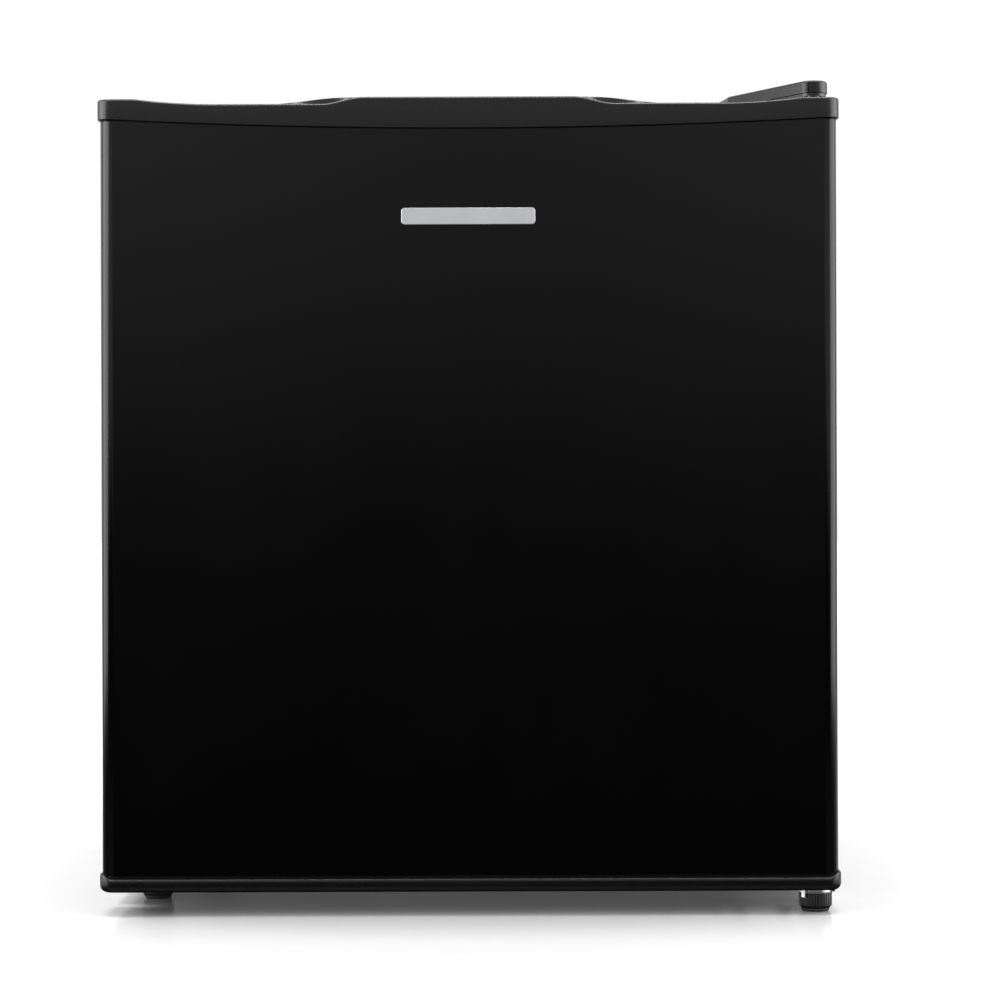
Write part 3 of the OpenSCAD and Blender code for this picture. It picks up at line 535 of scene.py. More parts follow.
def new_piece(
    name: str, mesh: bpy.types.Mesh, finish: Finish, body: str, smooth: float = 35.0
) -> bpy.types.Object:
    """Puts a mesh in the scene as a dressed piece that rides on a body.

    Args:
        name: The piece's name.
        mesh: Its mesh, in the frame's own coordinates.
        finish: What it is made of.
        body: The CAD body that carries it.
        smooth: Angle in degrees below which faces are shaded as one surface.

    Returns:
        The new object.
    """
    piece = bpy.data.objects.new(name, mesh)
    bpy.context.scene.collection.objects.link(piece)
    mesh.materials.append(finish.material())
    mesh.polygons.foreach_set("use_smooth", [True] * len(mesh.polygons))
    mesh.set_sharp_from_angle(angle=math.radians(smooth))
    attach(piece, body)
    log.info("%s: %d faces, %s", name, len(mesh.polygons), finish.name.lower())
    return piece


def stand_for(node: str) -> None:
    """Hides a CAD node so that a piece can stand in for it.

    Args:
        node: The CAD node it replaces.
    """
    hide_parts(node)


def open_shell(mesh: bpy.types.Mesh, rank: Callable[[bmesh.types.BMFace], float]) -> None:
    """Takes one end face off a closed skin.

    Args:
        mesh: The skin, whose end faces have more than four corners.
        rank: Gives the lowest value for the end face to remove.
    """
    work = bmesh.new()
    work.from_mesh(mesh)
    work.faces.remove(min((face for face in work.faces if len(face.verts) > 4), key=rank))
    work.to_mesh(mesh)
    work.free()


def thicken(piece: bpy.types.Object, wall: float, offset: float) -> None:
    """Gives an open skin its wall.

    Args:
        piece: The skin.
        wall: Thickness of the wall.
        offset: 1 to thicken outwards, -1 inwards.
    """
    shell = piece.modifiers.new("wall", "SOLIDIFY")
    shell.thickness = wall
    shell.offset = offset


def mesh_from(name: str, points: Iterable[Point], faces: Iterable[Sequence[int]]) -> bpy.types.Mesh:
    """Makes a mesh with outward normals from points and faces.

    Args:
        name: The mesh's name.
        points: Its vertices.
        faces: Vertex numbers of each face.

    Returns:
        The mesh.
    """
    mesh = bpy.data.meshes.new(name)
    mesh.from_pydata(list(points), [], list(faces))
    work = bmesh.new()
    work.from_mesh(mesh)
    bmesh.ops.recalc_face_normals(work, faces=work.faces)
    work.to_mesh(mesh)
    work.free()
    return mesh


def loft(
    name: str, rings: Sequence[Sequence[Point]], caps: bool = True, closed: bool = False
) -> bpy.types.Mesh:
    """Joins rings of equal length into a skin.

    Args:
        name: The mesh's name.
        rings: Closed rings of points, in order.
        caps: Whether the first and last rings are filled.
        closed: Whether the last ring joins the first, as round a gasket.

    Returns:
        The mesh.
    """
    count = len(rings[0])
    points = [p for ring in rings for p in ring]
    faces: list[Sequence[int]] = []
    last = len(rings) if closed else len(rings) - 1
    for i in range(last):
        j = (i + 1) % len(rings)
        for k in range(count):
            n = (k + 1) % count
            faces.append((i * count + k, i * count + n, j * count + n, j * count + k))
    if caps and not closed:
        faces.append(tuple(range(count)))
        faces.append(tuple((len(rings) - 1) * count + k for k in range(count)))
    return mesh_from(name, points, faces)


def arc(centre: Flat, radius: float, start: float, end: float, steps: int) -> list[Flat]:
    """Lays points along an arc, both ends included.

    Args:
        centre: The arc's centre.
        radius: Its radius.
        start: Angle of the first point, in degrees.
        end: Angle of the last point, in degrees.
        steps: Number of stretches between points.

    Returns:
        The points.
    """
    out = []
    for i in range(steps + 1):
        a = math.radians(start + (end - start) * i / steps)
        out.append((centre[0] + radius * math.cos(a), centre[1] + radius * math.sin(a)))
    return out


def round_box(x0: float, x1: float, z0: float, z1: float, radius: float, steps: int = 8) -> list[Flat]:
    """Outlines a rectangle with round corners, always with the same number of points.

    Args:
        x0: Left side.
        x1: Right side.
        z0: Lower side.
        z1: Upper side.
        radius: Corner radius, cut to what fits.
        steps: Number of stretches in each corner.

    Returns:
        The outline's points.
    """
    r = max(min(radius, (x1 - x0) / 2, (z1 - z0) / 2), LEAST_RADIUS)
    corners = ((x1 - r, z1 - r, 0), (x0 + r, z1 - r, 90), (x0 + r, z0 + r, 180), (x1 - r, z0 + r, 270))
    return [p for cx, cz, a in corners for p in arc((cx, cz), r, a, a + 90, steps)]


def lathe(name: str, profile: Sequence[Flat], base: Point, steps: int = 64) -> bpy.types.Mesh:
    """Turns a profile of (radius, height) about an upright axis.

    Args:
        name: The mesh's name.
        profile: Points from the bottom's axis to the top's axis.
        base: Where the axis stands.
        steps: Number of stations round the axis.

    Returns:
        The mesh.
    """
    rings = []
    for radius, height in profile:
        ring = []
        for i in range(steps):
            a = 2 * math.pi * i / steps
            ring.append((base[0] + radius * math.cos(a), base[1] + radius * math.sin(a), base[2] + height))
        rings.append(ring)
    return loft(name, rings)


def tube(name: str, path: Sequence[Vector], radius: float, sides: int = 12) -> bpy.types.Mesh:
    """Makes a round bar along a path, with filled ends.

    Args:
        name: The mesh's name.
        path: Points along the bar's middle.
        radius: The bar's radius.
        sides: Number of faces round it.

    Returns:
        The mesh.
    """
    rings = []
    side = None
    for i, point in enumerate(path):
        ahead = path[min(i + 1, len(path) - 1)] - path[max(i - 1, 0)]
        ahead.normalize()
        if side is None:
            side = ahead.orthogonal().normalized()
        side = (side - ahead * side.dot(ahead)).normalized()
        up = ahead.cross(side)
        ring = []
        for k in range(sides):
            a = 2 * math.pi * k / sides
            ring.append(tuple(point + side * (radius * math.cos(a)) + up * (radius * math.sin(a))))
        rings.append(ring)
    return loft(name, rings)


def soften(node: str, width: float, finish: Finish, steps: int = 2, angle: float = 32.0) -> bpy.types.Object:
    """Dresses a CAD node and rounds its edges with modifiers.

    Args:
        node: The CAD node's name.
        width: Radius of the rounded edges; nothing is rounded at 0.
        finish: What it is made of.
        steps: Segments in each rounded edge.
        angle: Smallest angle between faces that counts as an edge.

    Returns:
        The node's object.
    """
    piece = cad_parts[node]
    piece.data.materials.clear()
    piece.data.materials.append(finish.material())
    if width > 0:
        weld = piece.modifiers.new("weld", "WELD")
        weld.merge_threshold = WELD_GAP
        flat = piece.modifiers.new("flat", "DECIMATE")
        flat.decimate_type = "DISSOLVE"
        flat.angle_limit = math.radians(0.5)
        bevel = piece.modifiers.new("bevel", "BEVEL")
        bevel.width = width
        bevel.segments = steps
        bevel.limit_method = "ANGLE"
        bevel.angle_limit = math.radians(angle)
        bevel.harden_normals = True
        bevel.miter_outer = "MITER_ARC"
    log.info("%s: kept, %s", node, finish.name.lower())
    return piece


def recess(piece: bpy.types.Object, depth: float) -> None:
    """Draws a hidden filling back from the skins in front of it.

    Args:
        piece: The filling's object.
        depth: How far its faces move inwards.
    """
    weld = piece.modifiers.new("weld", "WELD")
    weld.merge_threshold = WELD_GAP
    shrink = piece.modifiers.new("shrink", "DISPLACE")
    shrink.direction = "NORMAL"
    shrink.mid_level = 0.0
    shrink.strength = -depth


def smoothstep(value: float) -> float:
    """Eases from 0 to 1 as the value does."""
    t = min(1.0, max(0.0, value))
    return t * t * (3 - 2 * t)


# ---------------------------------------------------------------- the door


@dataclass
class TopCap:
    """Moulded cap along the door's top, with a raised middle and two finger scoops."""

    plateau: float = 63 * MM
    lip_ramp: float = 25 * MM
    deck_start: float = 73 * MM
    deck_ramp: float = 49 * MM
    scoop: float = 4.1 * MM
    end_start: float = 150 * MM
    end_ramp: float = 50 * MM
    end_drop: float = 0.9 * MM
    lip_depth: float = 2.4 * MM
    edge_radius: float = 1.9 * MM
    lip_slope: float = 1.6 * MM
    skirt: float = 1.7 * MM
    hem_cut: float = 0.6 * MM
    hem_radius: float = 0.5 * MM
    corner: float = 9.7 * MM
    arch_radius: float = 4.09
    middle_height: float = 19.2 * MM
    stations: int = 160

    def __post_init__(self) -> None:
        """Reads the cap's box and the height of the door skin's top from the frame."""
        self.low, self.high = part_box("door_top_cap")
        self.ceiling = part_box("door_skin")[1].z

    def deck(self, x: float, y: float) -> float:
        """Finds the height of the cap's upper surface, before its edges are rounded.

        Args:
            x: Distance from the middle.
            y: Depth.

        Returns:
            The height.
        """
        a = abs(x)
        behind = smoothstep((y - self.low.y - self.lip_depth) / self.lip_slope)
        lip = smoothstep((a - self.plateau) / self.lip_ramp)
        deck = smoothstep((a - self.deck_start) / self.deck_ramp)
        end = min(1.0, max(0.0, (a - self.end_start) / self.end_ramp)) ** 2
        drop = self.scoop * (lip + (deck - lip) * behind)
        return self.high.z - drop + (self.scoop - self.end_drop) * end

    def hem(self, x: float, y: float) -> float:
        """Finds the height of the cap's lower edge: a long shallow arch, cut away behind.

        Args:
            x: Distance from the middle.
            y: Depth.

        Returns:
            The height.
        """
        if y > self.high.y - self.skirt - 0.1 * MM:
            return self.ceiling - self.hem_cut
        return self.high.z - self.middle_height + x * x / (2 * self.arch_radius)

    def front(self, x: float, inset: float) -> float:
        """Finds the depth of the cap's face, which turns back round the corners.

        Args:
            x: Distance from the middle.
            inset: How far the face is drawn in from the outline.

        Returns:
            The depth.
        """
        over = abs(x) - (self.high.x - self.corner)
        if over <= 0:
            return self.low.y + inset
        r = self.corner - inset
        return self.low.y + self.corner - math.sqrt(max(r * r - over * over, 0.0))

    def columns(self, inset: float) -> list[float]:
        """Places the stations across the cap, close together round the corners.

        Args:
            inset: How far the outermost stations are drawn in.

        Returns:
            Their distances from the middle, from left to right.
        """
        flat = self.high.x - self.corner
        r = self.corner - inset
        side = [flat + r * math.sin(math.radians(a)) for a in (15, 30, 45, 57, 67, 75, 81, 86, 90)]
        inner = [-flat + 2 * flat * i / self.stations for i in range(self.stations + 1)]
        return [-x for x in reversed(side)] + inner + side

    def grid(self, inset: float, height: Callable[[float, float, float], float]) -> list[list[Point]]:
        """Rows of points over the cap's plan.

        Args:
            inset: How far the plan is drawn in from the cap's outline.
            height: Gives z from x, y and the distance to the outline.

        Returns:
            Rows from front to back.
        """
        depths = [0.0, 0.07, 0.2, 0.4, 0.65, 0.95, 1.3, 1.9, 2.4, 2.7, 3.0, 3.3, 3.6]
        depths += [4.0, 5.0, 8.0, 14.0, 20.0, 26.0, 32.0, 37.0]
        back = self.high.y - inset
        rows = []
        for depth in depths:
            row = []
            for x in self.columns(inset):
                y0 = self.front(x, inset)
                y = y0 + (back - y0) * min(1.0, depth / depths[-1])
                side = self.high.x - inset - abs(x)
                row.append((x, y, height(x, y, min(y - y0, side, back - y))))
            rows.append(row)
        return rows

    def rounding(self, distance: float) -> float:
        """How far the rounded edge lies below the deck at a distance from the outline."""
        d = self.edge_radius - min(max(distance, 0.0), self.edge_radius)
        return self.edge_radius - math.sqrt(max(self.edge_radius**2 - d * d, 0.0))

    def build(self) -> None:
        """Makes the cap as one closed shell and lets it stand for its CAD node."""
        name = "door_top_cap_skin"
        deck = self.grid(0.0, lambda x, y, d: self.deck(x, y) - self.rounding(d))
        ceiling = self.grid(self.skirt, lambda x, y, d: self.ceiling)
        wide = len(deck[0])
        points = [p for row in deck for p in row] + [p for row in ceiling for p in row]
        offset = len(deck) * wide
        faces: list[Sequence[int]] = []
        for r in range(len(deck) - 1):
            for c in range(wide - 1):
                a = r * wide + c
                faces.append((a, a + 1, a + wide + 1, a + wide))
                faces.append(tuple(offset + v for v in (a, a + wide, a + wide + 1, a + 1)))
        rows = len(deck)
        edge = [(0, c) for c in range(wide)] + [(r, wide - 1) for r in range(1, rows)]
        edge += [(rows - 1, c) for c in range(wide - 2, -1, -1)] + [(r, 0) for r in range(rows - 2, 0, -1)]
        rims: list[list[int]] = [[r * wide + c for r, c in edge]]
        for inset, lift in ((0.0, self.hem_cut), (self.hem_radius, 0.0), (self.skirt, 0.0)):
            rim = []
            for r, c in edge:
                x, y, _ = (deck if inset == 0 else ceiling)[r][c]
                if 0 < inset < self.skirt:
                    x, y = [(p + q) / 2 for p, q in zip(deck[r][c][:2], ceiling[r][c][:2])]
                rim.append(len(points))
                points.append((x, y, self.hem(x, y) + lift))
            rims.append(rim)
        rims.append([offset + r * wide + c for r, c in edge])
        for upper, lower in zip(rims, rims[1:]):
            for k in range(len(edge)):
                n = (k + 1) % len(edge)
                faces.append((upper[k], lower[k], lower[n], upper[n]))
        cap = new_piece(name, mesh_from(name, points, faces), Finish.CAP_PLASTIC, "door", 40)
        stand_for("door_top_cap")


@dataclass
class BottomCap:
    """Moulded tray that closes the door's foot, with a rounded upper lip."""

    corner: float = 9.7 * MM
    foot_radius: float = 4.2 * MM
    lip_radius: float = 1.8 * MM
    lip_height: float = 8.4 * MM
    seat: float = 2.4 * MM
    side_rise: float = 3.2 * MM
    rear_corner: float = 0.4 * MM

    def __post_init__(self) -> None:
        """Reads the cap's box from the frame."""
        self.low, self.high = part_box("door_bottom_cap")
        self.lip = self.low.z + self.lip_height

    def outline(self, inset: float) -> list[Flat]:
        """Outlines the cap seen from above.

        Args:
            inset: How far the outline is drawn in.

        Returns:
            Its points.
        """
        x, y0, y1 = self.high.x - inset, self.low.y + inset, self.high.y - inset
        r = self.corner - inset
        sharp = self.rear_corner
        out = arc((x - r, y0 + r), r, 0, -90, 14) + [(x * (1 - i / 20), y0) for i in range(1, 40)]
        out += arc((-x + r, y0 + r), r, 270, 180, 14)
        out += arc((-x + sharp, y1 - sharp), sharp, 180, 90, 3)
        return out + arc((x - sharp, y1 - sharp), sharp, 90, 0, 3)

    def ring(self, inset: float, z: float, rise: float = 0.0) -> list[Point]:
        """Makes one ring of the cap's skin.

        Args:
            inset: How far the ring is drawn in.
            z: Its height.
            rise: How much higher it is where it turns round the ends.

        Returns:
            The ring's points.
        """
        start = self.high.x - self.corner * 0.8
        reach = self.corner * 0.7
        return [(x, y, z + rise * smoothstep((abs(x) - start) / reach)) for x, y in self.outline(inset)]

    def build(self) -> None:
        """Makes the cap as one closed shell and lets it stand for its CAD node."""
        name = "door_bottom_cap_skin"
        rings = []
        for i in range(7):
            a = math.radians(90 * i / 6)
            inset = self.foot_radius * (1 - math.sin(a))
            rings.append(self.ring(inset, self.low.z + self.foot_radius * (1 - math.cos(a))))
        r = self.lip_radius
        for i in range(9):
            a = math.radians(90 * i / 8)
            rings.append(self.ring(r * (1 - math.cos(a)), self.lip - r + r * math.sin(a), self.side_rise))
        rings.append(self.ring(self.seat, self.lip, self.side_rise))
        rings.append(self.ring(self.seat, self.high.z))
        cap = new_piece(name, loft(name, rings), Finish.CAP_PLASTIC, "door", 30)
        stand_for("door_bottom_cap")


@dataclass
class Gasket:
    """Soft magnetic seal: an anchor, a bellows and a flat sealing face, mitred at the corners."""

    corner: float = 2.5 * MM

    def build(self) -> None:
        """Makes the seal as one closed ring and lets it stand for its CAD node."""
        name = "door_gasket_bellows"
        low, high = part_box("door_gasket")
        depth = high.y - low.y
        profile = [
            (5.5, 0.0), (14.5, 0.0), (14.6, 0.22), (12.0, 0.27), (12.2, 0.34), (16.6, 0.40), (16.9, 0.47),
            (12.6, 0.52), (13.0, 0.56), (19.0, 0.60), (20.0, 0.66), (20.0, 0.90), (19.2, 0.98), (16.0, 1.0),
            (10.0, 0.985), (4.0, 1.0), (0.9, 0.98), (0.0, 0.90), (0.0, 0.66), (1.0, 0.60), (6.8, 0.56),
            (7.2, 0.52), (3.2, 0.47), (3.5, 0.40), (7.6, 0.34), (7.8, 0.27), (5.4, 0.22),
        ]
        rings = []
        for inset, share in profile:
            i = inset * MM
            outline = round_box(low.x + i, high.x - i, low.z + i, high.z - i, self.corner, 4)
            rings.append([(x, low.y + depth * share, z) for x, z in outline])
        seal = new_piece(name, loft(name, rings, closed=True), Finish.GASKET, "door", 50)
        stand_for("door_gasket")


@dataclass
class DoorLiner:
    """Vacuum-formed inner skin of the door, with its ring-shaped ridge and the bins' lugs."""

    ridge_x: float = 172 * MM
    ridge_low: float = 62 * MM
    ridge_high: float = 440.5 * MM
    ridge_width: float = 22 * MM
    recess: float = 8 * MM
    corner: float = 16 * MM
    foot: float = 3 * MM
    crest: float = 6 * MM
    slope: float = 1.2 * MM
    wall: float = 1.4 * MM
    lug_rise: float = 8 * MM
    lug_y: float = -150 * MM

    def ring(self, inset: float, y: float, radius: float) -> list[Point]:
        """Makes a ring round the ridge.

        Args:
            inset: How far it is drawn in from the ridge's outer foot.
            y: Its depth.
            radius: Its corner radius.

        Returns:
            The ring's points.
        """
        half = self.ridge_x - inset
        box = round_box(-half, half, self.ridge_low + inset, self.ridge_high - inset, radius, 10)
        return [(x, y, z) for x, z in box]

    def build(self) -> None:
        """Makes the liner and its lugs, and lets the liner stand for its CAD node."""
        low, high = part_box("door_liner")
        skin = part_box("door_skin")
        face = skin[1].y + 1.5 * MM
        foot, crest, slope, far = self.foot, self.crest, self.slope, self.ridge_width
        outer = round_box(low.x, high.x, low.z, high.z, 6 * MM, 10)
        rings = [[(x, face - 0.2 * MM, z) for x, z in outer]]
        rings.append([(x * 0.997, face, low.z + (z - low.z) * 0.997 + 0.6 * MM) for x, z in outer])
        turns = (
            (-foot, 0.0, face, face + foot, self.corner + foot, False),
            (slope, slope + crest, high.y - crest, high.y, self.corner, True),
            (far - slope - crest, far - slope, high.y, high.y - crest, self.corner - 4 * MM, False),
            (far, far + crest, face - self.recess + crest, face - self.recess, 11 * MM, True),
        )
        for turn in turns:
            rings += self.fillet(*turn)
        mesh = loft("door_liner_form", rings)
        open_shell(mesh, lambda face: face.calc_center_median().y - face.calc_area())
        liner = new_piece("door_liner_form", mesh, Finish.LINER_WHITE, "door", 60)
        thicken(liner, self.wall, -1.0)
        stand_for("door_liner")
        self.lugs()

    def fillet(
        self, i0: float, i1: float, y0: float, y1: float, radius: float, inward: bool, steps: int = 6
    ) -> list[list[Point]]:
        """Rings round a quarter turn between a wall and a face.

        Args:
            i0: Inset where the turn starts.
            i1: Inset where it ends.
            y0: Depth where it starts.
            y1: Depth where it ends.
            radius: Corner radius of the rings.
            inward: Whether the turn leaves along the wall, and so ends on the face.
            steps: Number of stations.

        Returns:
            The rings.
        """
        out = []
        for k in range(steps + 1):
            a = math.radians(90 * k / steps)
            u, v = (1 - math.cos(a), math.sin(a)) if inward else (math.sin(a), 1 - math.cos(a))
            inset = i0 + (i1 - i0) * u
            out.append(self.ring(inset, y0 + (y1 - y0) * v, max(radius - inset * 0.3, 4 * MM)))
        return out

    def lugs(self) -> None:
        """Makes the four lugs that the bins hang on."""
        reach = self.ridge_x - self.ridge_width
        for bin_name in ("bottle_bin", "upper_bin"):
            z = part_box(bin_name)[0].z + self.lug_rise
            for side, word in ((-1, "left"), (1, "right")):
                profile = [(0.0, 0.0), (3.2, 0.0), (3.8, 0.35), (4.0, 0.9), (4.0, 4.2), (0.0, 4.2)]
                mesh = lathe("lug", [(r * MM, h * MM) for r, h in profile], (0.0, 0.0, 0.0), 32)
                turn = Matrix.Rotation(math.radians(90 * side), 4, "Y")
                mesh.transform(Matrix.Translation((side * (reach - 3 * MM), self.lug_y, z)) @ turn)
                lug = new_piece(f"{bin_name}_lug_{word}", mesh, Finish.LINER_WHITE, "door", 50)


@dataclass
class Door:
    """The whole door: steel skin, caps, liner, gasket, bushes and badge."""

    foam_depth: float = 1.4 * MM
    top_cap: TopCap = field(default_factory=TopCap)
    bottom_cap: BottomCap = field(default_factory=BottomCap)
    gasket: Gasket = field(default_factory=Gasket)
    liner: DoorLiner = field(default_factory=DoorLiner)

    def build(self) -> None:
        """Builds and dresses every piece of the door."""
        soften("door_skin", 0.3 * MM, Finish.DOOR_STEEL, 2, 60)
        recess(soften("door_foam", 0.0, Finish.FOAM), self.foam_depth)
        soften("gasket_magnets", 0.0, Finish.MAGNET)
        soften("upper_bush", 0.3 * MM, Finish.NYLON)
        soften("lower_bush", 0.25 * MM, Finish.NYLON)
        soften("cap_screws", 0.5 * MM, Finish.ZINC, 3)
        soften("nameplate", 0.3 * MM, Finish.BADGE, 3)
        self.top_cap.build()
        self.bottom_cap.build()
        self.gasket.build()
        self.liner.build()
        soften("upper_bin", 0.7 * MM, Finish.BIN_CLEAR, 3)
        soften("bottle_bin", 0.7 * MM, Finish.BIN_CLEAR, 3)


# ---------------------------------------------------------------- the cabinet


@dataclass
class InnerLiner:
    """Vacuum-formed white cavity, stepped up over the compressor, with moulded shelf ledges."""

    corner: float = 12 * MM
    step_fillet: float = 11 * MM
    back_fillet: float = 12 * MM
    lip: float = 2 * MM
    flare: float = 1.4 * MM
    skin: float = 1.48 * MM
    wall: float = 1.2 * MM
    ledge: float = 3.8 * MM

    def __post_init__(self) -> None:
        """Reads the cavity from the frame."""
        low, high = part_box("inner_liner")
        self.x = high.x - self.skin
        self.z0, self.z1 = low.z + self.skin, high.z - self.skin
        self.y0, self.y1 = low.y, high.y - self.skin
        self.step_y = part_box("bay_panel")[0].y - 32 * MM
        self.step_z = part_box("bay_panel")[1].z + 31.2 * MM

    def ring(
        self, y: float, inset: float = 0.0, floor: Optional[float] = None, corner: Optional[float] = None
    ) -> list[Point]:
        """Makes one ring of the cavity.

        Args:
            y: Its depth.
            inset: How far it is drawn in.
            floor: Height of its floor, or None for the lowest.
            corner: Its corner radius, or None for the cavity's own.

        Returns:
            The ring's points.
        """
        z0 = (self.z0 if floor is None else floor) + inset
        radius = corner or self.corner - inset * 0.3
        outline = round_box(-self.x + inset, self.x - inset, z0, self.z1 - inset, radius, 10)
        return [(px, y, pz) for px, pz in outline]

    def build(self) -> None:
        """Makes the cavity's skin and ledges, and lets the skin stand for its CAD node."""
        quarter = [math.radians(90 * i / 7) for i in range(8)]
        turns = [(1 - math.cos(a), math.sin(a)) for a in quarter]
        f, b = self.step_fillet, self.back_fillet
        rings = [self.ring(self.y0 + 0.5 * MM, -self.flare, corner=1 * MM)]
        rings += [self.ring(self.y0 + self.lip * c, -self.flare * (1 - s)) for c, s in turns]
        rings += [self.ring(self.step_y - f + f * s, 0.0, self.z0 + f * c) for c, s in turns]
        rings += [self.ring(self.step_y + f * c, 0.0, self.step_z - f + f * s) for c, s in turns]
        rings += [self.ring(self.y1 - b + b * s, b * c, self.step_z) for c, s in turns]
        mesh = loft("inner_liner_form", rings)
        open_shell(mesh, lambda face: face.calc_center_median().y)
        liner = new_piece("inner_liner_form", mesh, Finish.LINER_WHITE, "cabinet", 60)
        thicken(liner, self.wall, 1.0)
        stand_for("inner_liner")
        self.ledges()

    def ledges(self) -> None:
        """Makes the six moulded ledges that carry the shelf and the drip tray."""
        gap = 0.2 * MM
        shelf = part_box("wire_shelf")[0].z - gap
        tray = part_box("drip_tray")[1].z - 2 * MM - gap
        levels = ((shelf, 8 * MM, -85 * MM), (shelf + 56 * MM, 8 * MM, -85 * MM), (tray, 11 * MM, 2 * MM))
        for number, (top, reach, start) in enumerate(levels, 1):
            for side, word in ((-1, "left"), (1, "right")):
                wall, tip, r = self.x + 0.4 * MM, self.x - reach, 1.2 * MM
                section = [(wall, top - self.ledge - 3 * MM), (wall - 1.5 * MM, top - self.ledge - 1 * MM)]
                section += [(tip + 2 * MM, top - self.ledge), (tip, top - 1.6 * MM)]
                section += arc((tip + r, top - r), r, 180, 90, 4) + [(self.x - r, top), (wall, top + r)]
                end = self.y1 + 0.3 * MM
                rings = []
                for y, shrink in ((start, 0.75), (start + 3 * MM, 1.0), (end, 1.0)):
                    rings.append([(side * (wall + (px - wall) * shrink), y, pz) for px, pz in section])
                name = f"liner_ledge_{number}_{word}"
                ledge = new_piece(name, loft(name, rings), Finish.LINER_WHITE, "cabinet", 40)


@dataclass
class HingeCover:
    """Black moulded cover over the upper hinge, with a round nose and a seam."""

    grow: float = 0.75 * MM
    wall: float = 1.6 * MM
    round_top: float = 1.5 * MM
    seam_depth: float = 0.4 * MM
    seam_angle: float = 248.0
    steps: int = 144

    def __post_init__(self) -> None:
        """Reads the cover's height and the hinge's axis from the frame."""
        self.low, self.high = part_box("hinge_cover")
        pin_low, pin_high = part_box("upper_hinge_pin")
        self.x = (pin_low.x + pin_high.x) / 2
        self.y = (pin_low.y + pin_high.y) / 2
        self.tail = self.high.y - 6.75 * MM

    def ring(self, inset: float, z: float, seam: bool = False) -> list[Point]:
        """Outlines the cover at a height: the outer tangent of four circles.

        Args:
            inset: How far the outline is drawn in.
            z: The height.
            seam: Whether the mould's seam shows in it.

        Returns:
            The outline's points.
        """
        pads = (
            (self.x, self.y, 8 * MM), (self.x - 2 * MM, self.tail, 6 * MM),
            (self.x - 44 * MM, self.tail - 4 * MM, 6 * MM), (self.x - 40 * MM, self.tail - 26 * MM, 6 * MM),
        )
        out = []
        for i in range(self.steps):
            angle = 360 * i / self.steps
            nx, ny = math.cos(math.radians(angle)), math.sin(math.radians(angle))
            cx, cy, r = max(pads, key=lambda p: p[0] * nx + p[1] * ny + p[2])
            r += self.grow - inset
            if seam and abs(angle - self.seam_angle) < 180 / self.steps:
                r -= self.seam_depth
            out.append((cx + nx * r, cy + ny * r, z))
        return out

    def build(self) -> None:
        """Makes the cover as one closed shell and lets it stand for its CAD node."""
        name = "hinge_cover_shell"
        rings = [self.ring(self.wall, self.high.z - self.wall), self.ring(self.wall, self.low.z)]
        rings += [self.ring(0.0, self.low.z, True), self.ring(0.0, self.high.z - self.round_top, True)]
        for i in range(1, 6):
            a = math.radians(90 * i / 5)
            inset = self.round_top * (1 - math.cos(a))
            rings.append(self.ring(inset, self.high.z - self.round_top * (1 - math.sin(a)), i < 4))
        cover = new_piece(name, loft(name, rings), Finish.CAP_PLASTIC, "cabinet", 35)
        stand_for("hinge_cover")


@dataclass
class Cabinet:
    """The box: outer wrap, back, floor, liner, hinges and feet."""

    foam_depth: float = 4 * MM
    liner: InnerLiner = field(default_factory=InnerLiner)
    cover: HingeCover = field(default_factory=HingeCover)

    def build(self) -> None:
        """Builds and dresses every piece of the cabinet."""
        soften("cabinet_wrap", 0.35 * MM, Finish.WRAP_STEEL, 2, 60)
        soften("front_crossbar", 0.3 * MM, Finish.WRAP_STEEL, 2, 60)
        for node in ("back_panel", "bay_panel", "compressor_tray"):
            soften(node, 0.25 * MM, Finish.GALVANISED, 2, 60)
        soften("floor_plate", 0.25 * MM, Finish.BLACK_PAINT, 2, 60)
        recess(soften("cabinet_foam", 0.0, Finish.FOAM), self.foam_depth)
        soften("rear_feet", 0.6 * MM, Finish.FOOT_PLASTIC, 3)
        soften("wall_spacers", 0.8 * MM, Finish.FOOT_PLASTIC, 3)
        soften("cord_gland", 0.5 * MM, Finish.RELAY_PLASTIC, 3)
        soften("foot_insert", 0.4 * MM, Finish.NYLON)
        self.liner.build()
        self.hinges()
        self.feet()

    def hinges(self) -> None:
        """Dresses both hinges and makes the upper cover."""
        self.cover.build()
        soften("upper_hinge_plate", 0.25 * MM, Finish.BLACK_PAINT, 2)
        soften("upper_hinge_pin", 0.4 * MM, Finish.ZINC, 3)
        soften("upper_hinge_screws", 0.3 * MM, Finish.ZINC)
        soften("hinge_hole_plugs", 0.5 * MM, Finish.CAP_PLASTIC, 3)
        soften("lower_hinge_bracket", 0.3 * MM, Finish.ZINC, 3)
        soften("lower_hinge_screws", 0.3 * MM, Finish.ZINC)

    def feet(self) -> None:
        """Dresses the two front feet and their pads."""
        for side in ("left", "right"):
            soften(f"{side}_foot_screw", 0.18 * MM, Finish.FOOT_PLASTIC, 2, 40)
            soften(f"{side}_foot_pad", 0.5 * MM, Finish.RUBBER, 3)


# ---------------------------------------------------------------- cooling


